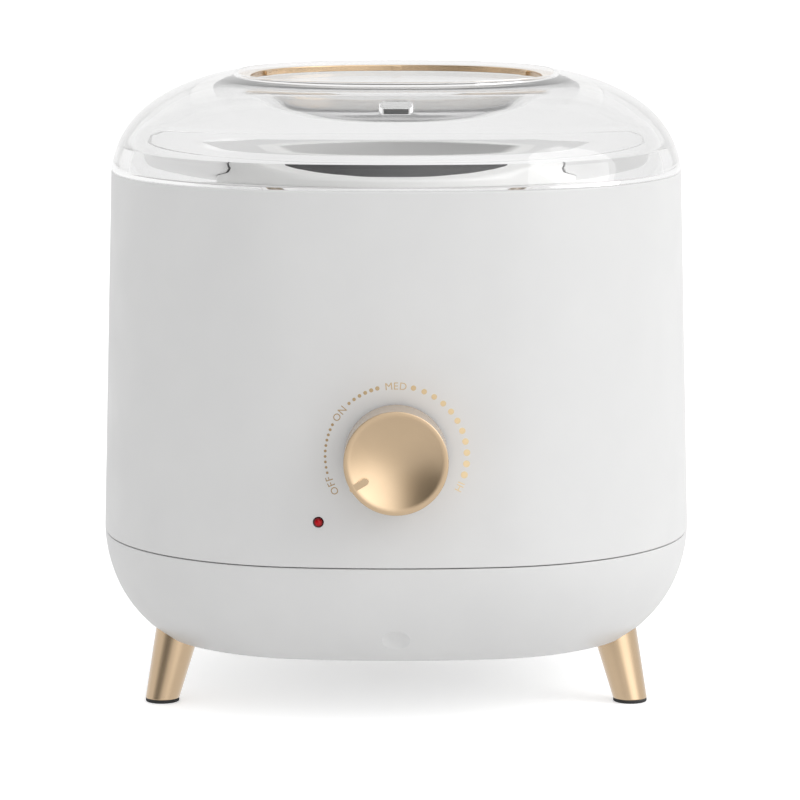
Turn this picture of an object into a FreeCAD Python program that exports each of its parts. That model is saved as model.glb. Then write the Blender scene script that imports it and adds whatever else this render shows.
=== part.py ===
import FreeCAD, Part
import Sketcher
import math
import operator
import os

# A counter-top wax warmer with a lift-out pot and a clear lid, in millimetres.
# +Z is up, the knob faces -Y and the floor is z = 0. Every sub-part is drawn about the
# housing's own upright axis, and its Placement moves that axis to y = AXIS_Y, so that the
# whole footprint is centred on the origin.

SIZES = {
    # Plan: a rounded square of four wide side arcs and four corner arcs, as ratios of its half-width.
    "side_ratio": 2.318,
    "corner_ratio": 0.2295,
    "top_side_ratio": 1.745,
    "top_corner_ratio": 0.1584,
    # Allowances: cutters run past faces by "past" and sunk joints overlap by "lap".
    "past": 1.0,
    "through": 100.0,
    "lap": 1.0,
    "fit": 0.05,
    # Screws: head and socket as ratios of the shank's radius, then each shank.
    "head_ratio": 1.75,
    "head_height_ratio": 1.3,
    "socket_ratio": 0.95,
    "socket_depth_ratio": 0.8,
    "screw_clearance": 0.1,
    "housing_screw_radius": 1.45,
    "housing_screw_length": 20.0,
    "ring_screw_radius": 1.45,
    "ring_screw_length": 7.0,
    "bracket_screw_radius": 0.95,
    "bracket_screw_length": 4.5,
    "strap_screw_radius": 1.0,
    "strap_screw_spare": 3.0,
    # Housing shells.
    "body_half": 90.1,
    "neck_half": 87.15,
    "seam_low": 50.0,
    "seam_high": 159.3,
    "seam_gap": 0.3,
    "wall": 2.5,
    "bowl_radius": 36.9,
    "base_height": 19.0,
    "base_edge": 1.2,
    "lap_height": 3.5,
    "lap_wall": 1.1,
    "deck_half": 82.3,
    "deck_top": 160.0,
    "deck_thick": 3.2,
    "post_offset": 53.0,
    "post_radius": 4.5,
    "post_base": 54.0,
    "post_hole": 1.5,
    "post_hole_depth": 14.0,
    "column_radius": 5.5,
    "column_bore": 1.8,
    "column_counterbore": 3.6,
    "column_shelf": 44.0,
    "dimple_radius": 6.6,
    "dimple_forward": 86.0,
    "dimple_height": 23.8,
    "vent_pitch": 8.0,
    "vent_width": 3.5,
    "vent_length": 36.0,
    "vent_cut": 10.0,
    # Pot, heater well and what surrounds them.
    "pot_radius": 51.5,
    "pot_wall": 1.5,
    "pot_bottom": 84.6,
    "pot_corner": 8.0,
    "pot_rim_radius": 55.5,
    "pot_rim_base": 160.3,
    "pot_rim_thick": 1.2,
    "well_inner": 52.2,
    "well_wall": 1.4,
    "well_bottom": 82.9,
    "well_corner": 8.6,
    "well_flange_radius": 55.3,
    "well_flange_base": 158.6,
    "well_flange_thick": 1.2,
    "well_fit": 0.15,
    "ring_radius": 68.0,
    "ring_base": 150.0,
    "ring_thick": 1.0,
    "ring_boss_offset": 64.5,
    "ring_boss_radius": 3.4,
    "ring_boss_hole": 1.5,
    "ring_boss_hole_depth": 6.0,
    "reflector_radius": 61.5,
    "sheet_thick": 0.8,
    "reflector_bottom": 76.0,
    "lead_hole": 2.4,
    "band_thick": 1.7,
    "band_base": 92.0,
    "band_height": 32.0,
    "band_gap_angle": 16.0,
    "strap_thick": 0.6,
    "strap_base": 103.0,
    "strap_height": 10.0,
    "strap_gap_angle": 6.0,
    "strap_ear": 4.0,
    "strap_ear_gap": 5.0,
    "strap_hole_reach": 2.5,
    "strap_hole": 1.1,
    "blanket_inner": 56.4,
    "blanket_outer": 60.5,
    "blanket_base": 86.0,
    "blanket_height": 62.0,
    "blanket_gap_angle": 60.0,
    "fuse_radius": 2.0,
    "fuse_length": 14.0,
    "fuse_height": 80.8,
    "fuse_tail_radius": 0.5,
    "clip_thick": 0.6,
    "clip_width": 7.0,
    "clip_half": 10.0,
    "clip_loop": 2.7,
    # Legs.
    "leg_foot_radius": 82.1,
    "leg_slope": 0.27,
    "leg_radius": 5.1,
    "leg_taper": 0.08,
    "leg_base": 1.0,
    "leg_top": 30.0,
    "leg_stem": 2.0,
    "leg_stem_length": 4.0,
    "leg_screw_depth": 12.0,
    "leg_screw_radius": 1.95,
    "leg_boss_radius": 10.5,
    "leg_boss_centre": 75.7,
    "leg_boss_top": 33.0,
    "leg_web": 20.0,
    # Lid.
    "lid_base": 159.6,
    "lid_rim_foot": 82.9,
    "lid_rim_head": 80.1,
    "lid_rim_top": 166.4,
    "lip_half": 49.8,
    "lip_base": 187.6,
    "lip_top": 188.0,
    "seat_half": 48.5,
    "seat_height": 186.2,
    "collar_outer": 47.4,
    "collar_inner": 45.3,
    "collar_foot": 183.7,
    "dish_top": 184.6,
    "trim_half": 48.35,
    "trim_inner": 45.2,
    "trim_thick": 0.6,
    "trim_skirt": 0.5,
    "trim_skirt_depth": 1.9,
    "vent_slot_width": 10.0,
    "vent_slot_depth": 4.4,
    "vent_slot_forward": 67.5,
    "vent_slot_cut": 10.0,
    "vent_end_spare": 0.001,
    # Knob and thermostat, measured forward from the axis.
    "knob_height": 83.1,
    "knob_radius": 15.05,
    "knob_back": 90.3,
    "knob_front": 104.3,
    "knob_wall": 1.0,
    "knob_rim": 13.4,
    "knob_chamfer": 0.5,
    "knob_dish": 3.0,
    "pointer_width": 2.0,
    "pointer_inner": 9.8,
    "hub_radius": 5.0,
    "hub_web": 2.4,
    "hub_skirt_inset": 0.5,
    "hub_inset": 1.0,
    "shaft_end_room": 0.2,
    "shaft_radius": 3.0,
    "shaft_back": 72.0,
    "shaft_front": 97.6,
    "shaft_flat": 1.5,
    "shaft_flat_back": 91.6,
    "shaft_hole": 4.6,
    "thermostat_half": 17.0,
    "thermostat_corner": 4.0,
    "thermostat_bore_room": 0.3,
    "tab_half": 3.15,
    "tab_low": 2.0,
    "tab_high": 2.8,
    "tab_length": 3.0,
    "thermostat_back": 65.4,
    "thermostat_front": 81.4,
    "bushing_radius": 4.0,
    "bushing_front": 86.4,
    "bracket_half": 25.0,
    "bracket_rise": 10.5,
    "bracket_thick": 1.0,
    "bracket_boss_offset": 21.0,
    "bracket_boss_radius": 3.2,
    "bracket_pilot": 1.0,
    "bracket_pilot_depth": 4.0,
    "bracket_hole": 1.3,
    "bracket_boss_sink": 0.375,
    "nut_radius": 6.5,
    "nut_thick": 2.6,
    # Indicator, forward from the axis.
    "lamp_offset": 22.5,
    "lamp_height": 63.4,
    "lamp_radius": 1.5,
    "lamp_tip": 89.5,
    "lamp_back": 84.0,
    "lamp_flange": 1.9,
    "lamp_flange_thick": 0.8,
    "lamp_hole": 1.6,
    "holder_radius": 3.2,
    "holder_back": 82.6,
    "holder_front": 85.6,
    "board_half": 5.0,
    "board_drop": 8.0,
    "board_rise": 7.0,
    "board_thick": 1.6,
    # Cord inlet at the back, measured backward from the axis.
    "gland_height": 64.0,
    "gland_back": 92.0,
    "gland_seat": 90.0,
    "gland_flange": 8.0,
    "gland_radius": 6.0,
    "gland_bore": 3.2,
    "gland_front": 78.0,
    "gland_hole": 6.1,
    "gland_nut_radius": 9.5,
    "gland_nut_thick": 4.0,
    "gland_nut_front": 82.6,
    # Wiring.
    "block_back": 52.0,
    "block_half": 17.0,
    "block_depth": 16.0,
    "block_height": 14.0,
    "block_pitch": 10.0,
    "block_well": 2.6,
    "block_well_depth": 6.0,
    "block_screw_radius": 2.5,
    "block_screw_height": 2.5,
    "screw_slot_width": 0.8,
    "screw_slot_depth": 0.8,
    "lead_radius": 1.1,
    "lead_spread": 6.0,
    "lead_bend": 12.0,
    "lead_run_height": 71.0,
    "heater_lead_back": 57.2,
    "heater_lead_top": 98.0,
    "control_lead_back": 47.0,
}

# Half-width of the lid's outer face against height, from its foot to the lip.
LID_OUTER = [(159.6, 87.1), (164.0, 86.1), (169.0, 83.95), (174.0, 80.3), (178.0, 75.8),
             (181.5, 70.1), (184.2, 64.0), (186.2, 57.6), (187.2, 52.7), (187.6, 49.8)]
# The same for the inside of the dome, above its thick foot.
LID_INNER = [(166.4, 82.95), (172.6, 78.6), (176.35, 74.35), (179.65, 68.9), (182.2, 63.1),
             (184.05, 57.05), (185.0, 52.0), (185.3, 49.0)]
# Underside and upper side of the recessed dish, from its collar to the middle.
DISH_UNDER = [(183.7, 47.4), (181.2, 42.9), (178.9, 38.1), (177.25, 33.0), (175.95, 27.5),
              (175.0, 20.0), (174.5, 11.0)]
DISH_UPPER = [(184.6, 44.9), (182.7, 41.2), (180.6, 36.6), (179.2, 32.0), (178.0, 26.4),
              (177.1, 19.0), (176.6, 10.0)]

POINTER_ANGLE = 210.8
LEG_ANGLES = {"leg_front_left": 210.0, "leg_front_right": 330.0, "leg_rear": 90.0}
RING_BOSS_ANGLES = [30.0, 150.0, 270.0]
VENT_COUNT = 7

X_AXIS = FreeCAD.Vector(1, 0, 0)
Z_AXIS = FreeCAD.Vector(0, 0, 1)
ORIGIN = FreeCAD.Vector(0, 0, 0)
FORWARD = FreeCAD.Rotation(X_AXIS, 90)
BACKWARD = FreeCAD.Rotation(X_AXIS, -90)
UPSIDE_DOWN = FreeCAD.Rotation(X_AXIS, 180)
SIDEWAYS = FreeCAD.Rotation(FreeCAD.Vector(0, 1, 0), 90)
OPERATIONS = {"+": operator.add, "-": operator.sub, "*": operator.mul, "/": operator.truediv}


class Size:
    # A value together with the spreadsheet expression that gives it.
    def __init__(self, value, text):
        self.value = value
        self.text = text

    def __add__(self, other):
        return combine(self, "+", other)

    def __radd__(self, other):
        return combine(other, "+", self)

    def __sub__(self, other):
        return combine(self, "-", other)

    def __rsub__(self, other):
        return combine(other, "-", self)

    def __mul__(self, other):
        return combine(self, "*", other)

    def __rmul__(self, other):
        return combine(other, "*", self)

    def __truediv__(self, other):
        return combine(self, "/", other)

    def __neg__(self):
        return combine(0, "-", self)


def as_size(number):
    if isinstance(number, Size):
        return number
    return Size(float(number), f"({number})")


def combine(left, sign, right):
    left = as_size(left)
    right = as_size(right)
    value = OPERATIONS[sign](left.value, right.value)
    return Size(value, f"({left.text} {sign} {right.text})")


class Names:
    # The spreadsheet's aliases as attributes.
    pass


doc = FreeCAD.newDocument("WaxWarmer")
sheet = doc.addObject("Spreadsheet::Sheet", "Dimensions")
D = Names()
for row, (alias, number) in enumerate(SIZES.items(), start=1):
    sheet.set(f"A{row}", alias)
    sheet.set(f"B{row}", str(number))
    sheet.setAlias(f"B{row}", alias)
    setattr(D, alias, Size(number, f"Dimensions.{alias}"))
doc.recompute()

AXIS_Y = (D.knob_front - D.gland_back) / 2
FINISHED = []


# ---- helpers -------------------------------------------------------------------------------

def bind(item, prop, size):
    item.setExpression(prop, as_size(size).text)


def place(item, x=0, y=0, z=0, turn=None):
    # A place relative to the housing's axis.
    item.Placement = FreeCAD.Placement(ORIGIN, turn or FreeCAD.Rotation())
    bind(item, "Placement.Base.x", x)
    bind(item, "Placement.Base.y", y)
    bind(item, "Placement.Base.z", z)


def finish(item, label, x=0, y=0, z=0, turn=None):
    item.Label = label
    place(item, x, AXIS_Y + y, z, turn)
    FINISHED.append(item)


def about_z(angle):
    return FreeCAD.Rotation(Z_AXIS, angle)


def polar(radius, angle):
    turn = math.radians(angle)
    x = radius * Size(math.cos(turn), f"cos({angle} deg)")
    y = radius * Size(math.sin(turn), f"sin({angle} deg)")
    return x, y


def new_body(name):
    return doc.addObject("PartDesign::Body", name)


def new_sketch(body, name, role="XY_Plane", offset=0):
    sketch = body.newObject("Sketcher::SketchObject", name)
    plane = [item for item in body.Origin.OriginFeatures if item.Role == role][0]
    sketch.AttachmentSupport = [(plane, "")]
    sketch.MapMode = "FlatFace"
    bind(sketch, "AttachmentOffset.Base.z", offset)
    return sketch


def dimension(sketch, kind, refs, size):
    size = as_size(size)
    index = sketch.addConstraint(Sketcher.Constraint(kind, *refs, size.value))
    sketch.setExpression(f"Constraints[{index}]", size.text)


def at(sketch, refs, x, y):
    # Holds one point of the sketch at (x, y).
    for axis, kind, size in ((-2, "DistanceX", as_size(x)), (-1, "DistanceY", as_size(y))):
        if abs(size.value) < 1e-9:
            sketch.addConstraint(Sketcher.Constraint("PointOnObject", *refs, axis))
        elif size.value > 0:
            dimension(sketch, kind, (-1, 1, *refs), size)
        else:
            dimension(sketch, kind, (*refs, -1, 1), -size)


def circle(sketch, x, y, radius):
    x, y, radius = as_size(x), as_size(y), as_size(radius)
    centre = FreeCAD.Vector(x.value, y.value, 0)
    index = sketch.addGeometry(Part.Circle(centre, Z_AXIS, radius.value))
    at(sketch, (index, 3), x, y)
    dimension(sketch, "Radius", (index,), radius)


def arc_between(start, end, radius):
    # The short arc from start to end; a positive radius turns left, a negative one right.
    if radius < 0:
        return arc_between(end, start, -radius)
    chord = end - start
    middle = (start + end) / 2
    left = FreeCAD.Vector(-chord.y, chord.x, 0) / chord.Length
    centre = middle + left * math.sqrt(radius ** 2 - (chord.Length / 2) ** 2)
    first = math.atan2(start.y - centre.y, start.x - centre.x)
    last = math.atan2(end.y - centre.y, end.x - centre.x)
    return Part.ArcOfCircle(Part.Circle(centre, Z_AXIS, radius), first, last)


def outline(sketch, points, arcs=None):
    # A closed outline; arcs gives a signed radius for the edge that leaves a point.
    arcs = arcs or {}
    corners = [(as_size(x), as_size(y)) for x, y in points]
    spots = [FreeCAD.Vector(x.value, y.value, 0) for x, y in corners]
    ends = []
    for index, start in enumerate(spots):
        end = spots[(index + 1) % len(spots)]
        if index in arcs:
            radius = as_size(arcs[index])
            edge = sketch.addGeometry(arc_between(start, end, radius.value))
            dimension(sketch, "Radius", (edge,), radius if radius.value > 0 else -radius)
            ends.append((edge, 1, 2) if radius.value > 0 else (edge, 2, 1))
        else:
            ends.append((sketch.addGeometry(Part.LineSegment(start, end)), 1, 2))
    for index, (edge, first, last) in enumerate(ends):
        following = ends[(index + 1) % len(ends)]
        sketch.addConstraint(Sketcher.Constraint("Coincident", edge, last, following[0], following[1]))
        at(sketch, (edge, first), *corners[index])


def rectangle(sketch, left, right, low, high):
    outline(sketch, [(left, low), (right, low), (right, high), (left, high)])


def rounded_square(sketch, half, blend=0):
    # Eight tangent arcs: even ones are the sides, odd ones the corners. blend runs from the
    # housing's plan, 0, to the rounder one of the lid's opening, 1.
    half = as_size(half)
    side = half * (D.side_ratio + (D.top_side_ratio - D.side_ratio) * blend)
    corner = half * (D.corner_ratio + (D.top_corner_ratio - D.corner_ratio) * blend)
    setback = side - half
    first = sketch.GeometryCount
    spread = math.atan2(corner.value, corner.value + setback.value)
    corner_radius = side.value - math.hypot(corner.value, corner.value + setback.value)
    for quarter in range(4):
        turn = quarter * math.pi / 2
        spin = FreeCAD.Rotation(Z_AXIS, math.degrees(turn))
        middle = spin.multVec(FreeCAD.Vector(-setback.value, 0, 0))
        bend = spin.multVec(FreeCAD.Vector(corner.value, corner.value, 0))
        wide = Part.Circle(middle, Z_AXIS, side.value)
        tight = Part.Circle(bend, Z_AXIS, corner_radius)
        sketch.addGeometry(Part.ArcOfCircle(wide, turn - spread, turn + spread))
        sketch.addGeometry(Part.ArcOfCircle(tight, turn + spread, turn + math.pi / 2 - spread))
    for step in range(8):
        following = first + (step + 1) % 8
        sketch.addConstraint(Sketcher.Constraint("Tangent", first + step, 2, following, 1))
    for step in (2, 4, 6):
        sketch.addConstraint(Sketcher.Constraint("Equal", first, first + step))
    dimension(sketch, "Radius", (first,), side)
    at(sketch, (first, 3), -setback, 0)
    at(sketch, (first + 2, 3), 0, -setback)
    at(sketch, (first + 4, 3), setback, 0)
    at(sketch, (first + 6, 3), 0, setback)
    for step, sign in ((1, 1), (3, -1), (5, -1), (7, 1)):
        refs = (-1, 1, first + step, 3) if sign > 0 else (first + step, 3, -1, 1)
        dimension(sketch, "DistanceX", refs, corner)


def square_sketch(body, name, height, half, blend=0):
    sketch = new_sketch(body, name, "XY_Plane", height)
    rounded_square(sketch, half, blend)
    return sketch


def circle_sketch(body, name, height, spots, radius, role="XY_Plane"):
    sketch = new_sketch(body, name, role, height)
    for x, y in spots:
        circle(sketch, x, y, radius)
    return sketch


def pad(body, sketch, length, backwards=False):
    feature = body.newObject("PartDesign::Pad", sketch.Name + "Pad")
    feature.Profile = sketch
    feature.Reversed = backwards
    bind(feature, "Length", length)
    return feature


def pocket(body, sketch, length, backwards=False):
    # Cuts against the sketch's normal, or along it when backwards is set.
    doc.recompute()
    before = body.Shape.Volume
    feature = body.newObject("PartDesign::Pocket", sketch.Name + "Pocket")
    feature.Profile = sketch
    feature.Reversed = backwards
    bind(feature, "Length", length)
    doc.recompute()
    if body.Shape.Volume >= before - 1e-6:
        raise RuntimeError(f"{feature.Name} cut nothing")
    return feature


def revolve(body, sketch, angle=360):
    feature = body.newObject("PartDesign::Revolution", sketch.Name + "Revolution")
    feature.Profile = sketch
    feature.ReferenceAxis = (sketch, ["V_Axis"])
    bind(feature, "Angle", angle)
    return feature


def loft(body, name, sections, cut=False, ruled=False):
    kind = "PartDesign::SubtractiveLoft" if cut else "PartDesign::AdditiveLoft"
    feature = body.newObject(kind, name)
    feature.Profile = sections[0]
    feature.Sections = sections[1:]
    feature.Ruled = ruled
    return feature


def fillet(body, name, radius, chosen):
    doc.recompute()
    base = body.Tip
    edges = [f"Edge{index}" for index, edge in enumerate(base.Shape.Edges, start=1) if chosen(edge)]
    feature = body.newObject("PartDesign::Fillet", name)
    feature.Base = (base, edges)
    bind(feature, "Radius", radius)
    return feature


def flat_at(height):
    # Chooses the edges that lie level at one height.
    return lambda edge: (abs(edge.BoundBox.ZMin - height.value) < 1e-3
                         and abs(edge.BoundBox.ZMax - height.value) < 1e-3)


def turned(name, points, arcs=None, angle=360):
    # A body turned about Z from an outline of (radius, height) points.
    body = new_body(name)
    sketch = new_sketch(body, name + "Profile", "XZ_Plane")
    outline(sketch, points, arcs)
    revolve(body, sketch, angle)
    return body


def cylinder(name, radius, height, x=0, y=0, z=0, turn=None):
    item = doc.addObject("Part::Cylinder", name)
    bind(item, "Radius", radius)
    bind(item, "Height", height)
    place(item, x, y, z, turn)
    return item


def box(name, width, depth, height, x=0, y=0, z=0, turn=None):
    item = doc.addObject("Part::Box", name)
    bind(item, "Length", width)
    bind(item, "Width", depth)
    bind(item, "Height", height)
    place(item, x, y, z, turn)
    return item


def prism(name, radius, height, x=0, y=0, z=0):
    item = doc.addObject("Part::Prism", name)
    item.Polygon = 6
    bind(item, "Circumradius", radius)
    bind(item, "Height", height)
    place(item, x, y, z)
    return item


def fuse(name, items):
    item = doc.addObject("Part::MultiFuse", name)
    item.Shapes = items
    return item


def cut(name, base, tool):
    doc.recompute()
    before = base.Shape.Volume
    item = doc.addObject("Part::Cut", name)
    item.Base = base
    item.Tool = tool
    doc.recompute()
    if item.Shape.Volume >= before - 1e-6:
        raise RuntimeError(f"{name} cut nothing")
    return item


def group(name, items):
    item = doc.addObject("Part::Compound", name)
    item.Links = items
    return item


def screw(name, size, length, x, y, z, turn=None):
    # A socket screw of shank radius size; its head sits below z and its shank points up.
    head_height = size * D.head_height_ratio
    head = cylinder(name + "Head", size * D.head_ratio, head_height, z=-head_height)
    shank = cylinder(name + "Shank", size, length)
    socket = prism(name + "Socket", size * D.socket_ratio, size * D.socket_depth_ratio, z=-head_height)
    item = cut(name, fuse(name + "Blank", [head, shank]), socket)
    place(item, x, y, z, turn)
    return item


def square_spots(offset):
    return [(offset, offset), (-offset, offset), (-offset, -offset), (offset, -offset)]


# ---- lid -----------------------------------------------------------------------------------

def lid_sections(body, name, rows, start, end):
    sections = []
    for index, (height, half) in enumerate(rows):
        blend = start + (end - start) * index / (len(rows) - 1)
        sections.append(square_sketch(body, f"{name}{index}", height, half, blend))
    return sections


def lid_dome():
    body = new_body("LidDome")
    loft(body, "LidOuter", lid_sections(body, "LidOuterAt", LID_OUTER, 0, 1))
    pad(body, square_sketch(body, "LidLip", D.lip_base, D.lip_half, 1), D.lip_top - D.lip_base)
    # The thick rim's inner face leans in towards its top.
    loft(body, "LidRimBore", [
        square_sketch(body, "LidRimFoot", D.lid_base, D.lid_rim_foot),
        square_sketch(body, "LidRimHead", D.lid_rim_top, D.lid_rim_head)], cut=True, ruled=True)
    loft(body, "LidHollow", lid_sections(body, "LidInnerAt", LID_INNER, 0, 1), cut=True)
    collar = square_sketch(body, "LidCollar", D.collar_foot, D.collar_outer, 1)
    pad(body, collar, D.lip_base - D.collar_foot)
    loft(body, "DishBlank", lid_sections(body, "DishUnderAt", DISH_UNDER, 1, 1))
    seat = square_sketch(body, "LidSeat", D.lip_top, D.seat_half, 1)
    pocket(body, seat, D.lip_top - D.seat_height)
    bore = square_sketch(body, "LidCollarBore", D.seat_height, D.collar_inner, 1)
    pocket(body, bore, D.seat_height - D.dish_top)
    loft(body, "DishHollow", lid_sections(body, "DishUpperAt", DISH_UPPER, 1, 1), cut=True)
    # The steam vent goes straight down through the front of the dome.
    vent = new_sketch(body, "LidVent", "XY_Plane", D.lip_top)
    half_width = D.vent_slot_width / 2
    half_depth = D.vent_slot_depth / 2
    left = half_depth - half_width
    near = -D.vent_slot_forward - half_depth
    far = -D.vent_slot_forward + half_depth
    outline(vent, [(left, near), (-left, near), (-left, far), (left, far)],
            {1: half_depth + D.vent_end_spare, 3: half_depth + D.vent_end_spare})
    pocket(body, vent, D.vent_slot_cut)
    finish(body, "lid_dome")


def lid_trim_ring():
    body = new_body("TrimRing")
    low = D.seat_height
    flange = square_sketch(body, "TrimFlange", low, D.trim_half, 1)
    rounded_square(flange, D.trim_inner - D.trim_skirt, 1)
    pad(body, flange, D.trim_thick)
    skirt = square_sketch(body, "TrimSkirt", low + D.trim_thick, D.trim_inner, 1)
    rounded_square(skirt, D.trim_inner - D.trim_skirt, 1)
    pad(body, skirt, D.trim_skirt_depth, backwards=True)
    finish(body, "lid_trim_ring")


# ---- housing -------------------------------------------------------------------------------

def wall_half(height):
    # Half-width of the upper housing's outer face.
    return D.body_half - (height - D.seam_low) * (D.body_half - D.neck_half) / (D.seam_high - D.seam_low)


def upper_housing():
    body = new_body("UpperHousing")
    deck_under = D.deck_top - D.deck_thick
    loft(body, "HousingWall", [
        square_sketch(body, "HousingFoot", D.seam_low, D.body_half),
        square_sketch(body, "HousingNeck", D.seam_high, D.neck_half)], ruled=True)
    pad(body, square_sketch(body, "HousingDeck", D.seam_high, D.deck_half), D.deck_top - D.seam_high)
    loft(body, "HousingHollow", [
        square_sketch(body, "HollowFoot", D.seam_low, D.body_half - D.wall),
        square_sketch(body, "HollowTop", deck_under, wall_half(deck_under) - D.wall)], cut=True, ruled=True)
    posts = circle_sketch(body, "Posts", D.post_base, square_spots(D.post_offset), D.post_radius)
    pad(body, posts, deck_under - D.post_base + D.lap)
    holes = circle_sketch(body, "PostHoles", D.post_base, square_spots(D.post_offset), D.post_hole)
    pocket(body, holes, D.post_hole_depth, backwards=True)
    ring_spots = [polar(D.ring_boss_offset, angle) for angle in RING_BOSS_ANGLES]
    ring_top = D.ring_base + D.ring_thick
    bosses = circle_sketch(body, "RingBosses", ring_top, ring_spots, D.ring_boss_radius)
    pad(body, bosses, deck_under - ring_top + D.lap)
    pilots = circle_sketch(body, "RingPilots", ring_top, ring_spots, D.ring_boss_hole)
    pocket(body, pilots, D.ring_boss_hole_depth, backwards=True)
    mouth = circle_sketch(body, "Mouth", D.deck_top, [(0, 0)], D.well_inner + D.well_wall + D.well_fit)
    pocket(body, mouth, D.deck_thick)
    seat = circle_sketch(body, "MouthSeat", D.deck_top, [(0, 0)], D.well_flange_radius + D.well_fit)
    pocket(body, seat, D.deck_top - D.well_flange_base)
    # Two bosses behind the front wall carry the thermostat's bracket.
    boss_spots = [(D.bracket_boss_offset, D.knob_height), (-D.bracket_boss_offset, D.knob_height)]
    bracket_front = D.thermostat_front + D.bracket_thick
    front_bosses = circle_sketch(body, "BracketBosses", bracket_front, boss_spots,
                                 D.bracket_boss_radius, "XZ_Plane")
    wall_inside = wall_half(D.knob_height) - D.wall
    pad(body, front_bosses, wall_inside + D.bracket_boss_sink - bracket_front)
    front_pilots = circle_sketch(body, "BracketPilots", bracket_front, boss_spots,
                                 D.bracket_pilot, "XZ_Plane")
    pocket(body, front_pilots, D.bracket_pilot_depth, backwards=True)
    shaft_hole = circle_sketch(body, "ShaftHole", 0, [(0, D.knob_height)], D.shaft_hole, "XZ_Plane")
    pocket(body, shaft_hole, D.through, backwards=True)
    lamp_hole = circle_sketch(body, "LampHole", 0, [(-D.lamp_offset, D.lamp_height)],
                              D.lamp_hole, "XZ_Plane")
    pocket(body, lamp_hole, D.through, backwards=True)
    gland_hole = circle_sketch(body, "GlandHole", 0, [(0, D.gland_height)], D.gland_hole, "XZ_Plane")
    pocket(body, gland_hole, D.through)
    finish(body, "upper_housing")


def bowl_form(name, half, radius, low, floor, top):
    # A rounded-square bowl: its side rolls under at one radius and is cut off flat at the floor.
    body = new_body(name)
    pad(body, square_sketch(body, name + "Plan", low, half), top - low)
    fillet(body, name + "Roll", radius, flat_at(low))
    foot = circle_sketch(body, name + "Foot", floor, [(0, 0)], D.through)
    pocket(body, foot, floor - low + D.past)
    return body


def leg_centre(height):
    return D.leg_foot_radius - D.leg_slope * height


def leg_form(name, clearance, angle):
    body = new_body(name)
    sections = []
    for step, height in enumerate((D.leg_base, D.leg_top)):
        radius = D.leg_radius + D.leg_taper * height + clearance
        sections.append(circle_sketch(body, f"{name}At{step}", height, [(leg_centre(height), 0)], radius))
    loft(body, name + "Loft", sections, ruled=True)
    place(body, turn=about_z(angle))
    return body


def leg_boss(name, angle):
    x, y = polar(D.leg_boss_centre, angle)
    height = D.leg_boss_top - D.base_height
    core = cylinder(name + "Core", D.leg_boss_radius, height, x, y, D.base_height)
    side_x, side_y = polar(D.leg_boss_radius, angle + 90)
    web = box(name + "Web", D.leg_web, D.leg_boss_radius * 2, height, x - side_x, y - side_y,
              D.base_height, about_z(angle))
    return fuse(name, [core, web])


def lower_shell():
    rolled_low = D.seam_low - D.bowl_radius
    floor = D.base_height + D.wall
    lap_top = D.seam_low + D.lap_height
    outer = bowl_form("BowlOuter", D.body_half, D.bowl_radius, rolled_low, D.base_height, lap_top)
    fillet(outer, "BowlFootEdge", D.base_edge, flat_at(D.base_height))
    rebate = square_sketch(outer, "BowlRebate", D.seam_low - D.seam_gap, D.body_half + D.past)
    rounded_square(rebate, D.body_half - D.wall - D.fit)
    pocket(outer, rebate, D.lap_height + D.past, backwards=True)
    inner = bowl_form("BowlInner", D.body_half - D.wall - D.lap_wall, D.bowl_radius - D.wall - D.lap_wall,
                      rolled_low + D.wall + D.lap_wall, floor, lap_top + D.past)
    solids = []
    for index, (name, angle) in enumerate(LEG_ANGLES.items()):
        solids.append(leg_boss(f"LegBoss{index}", angle))
    for index, (x, y) in enumerate(square_spots(D.post_offset)):
        height = D.post_base - D.seam_gap - D.base_height
        solids.append(cylinder(f"Column{index}", D.column_radius, height, x, y, D.base_height))
    shell = cut("BowlHollowed", outer, cut("BowlCavity", inner, fuse("BowlSolids", solids)))
    # What is cut through the shell.
    tools = []
    for index, (name, angle) in enumerate(LEG_ANGLES.items()):
        tools.append(leg_form(f"LegSocket{index}", D.fit, angle))
        x, y = polar(leg_centre(D.leg_top), angle)
        tools.append(cylinder(f"LegScrewHole{index}", D.leg_screw_radius + D.screw_clearance,
                              D.leg_boss_top - D.leg_top + D.past * 2, x, y, D.leg_top - D.past))
    for index, (x, y) in enumerate(square_spots(D.post_offset)):
        tools.append(cylinder(f"ColumnBore{index}", D.column_bore, D.post_base, x, y, 0))
        tools.append(cylinder(f"ColumnCounterbore{index}", D.column_counterbore, D.column_shelf, x, y, 0))
    for index in range(VENT_COUNT):
        x = D.vent_pitch * (index - VENT_COUNT // 2) - D.vent_width / 2
        tools.append(box(f"Vent{index}", D.vent_width, D.vent_length, D.vent_cut, x,
                         -D.vent_length / 2, D.base_height - D.past))
    dimple = doc.addObject("Part::Sphere", "Dimple")
    bind(dimple, "Radius", D.dimple_radius)
    place(dimple, 0, -D.dimple_forward, D.dimple_height)
    tools.append(dimple)
    finish(cut("LowerShell", shell, fuse("BowlTools", tools)), "lower_shell")


def housing_screws():
    screws = []
    for index, (x, y) in enumerate(square_spots(D.post_offset)):
        screws.append(screw(f"HousingScrew{index}", D.housing_screw_radius, D.housing_screw_length,
                            x, y, D.column_shelf))
    finish(group("HousingScrews", screws), "housing_screws")


# ---- legs ----------------------------------------------------------------------------------

def legs():
    for index, (name, angle) in enumerate(LEG_ANGLES.items()):
        body = leg_form(f"Leg{index}", 0, 0)
        stem = circle_sketch(body, f"LegStemHole{index}", D.leg_base, [(leg_centre(D.leg_base), 0)],
                             D.leg_stem)
        pocket(body, stem, D.leg_stem_length, backwards=True)
        thread = circle_sketch(body, f"LegThread{index}", D.leg_top, [(leg_centre(D.leg_top), 0)],
                               D.leg_screw_radius + D.fit)
        pocket(body, thread, D.leg_screw_depth + D.past)
        finish(body, name, turn=about_z(angle))


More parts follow.
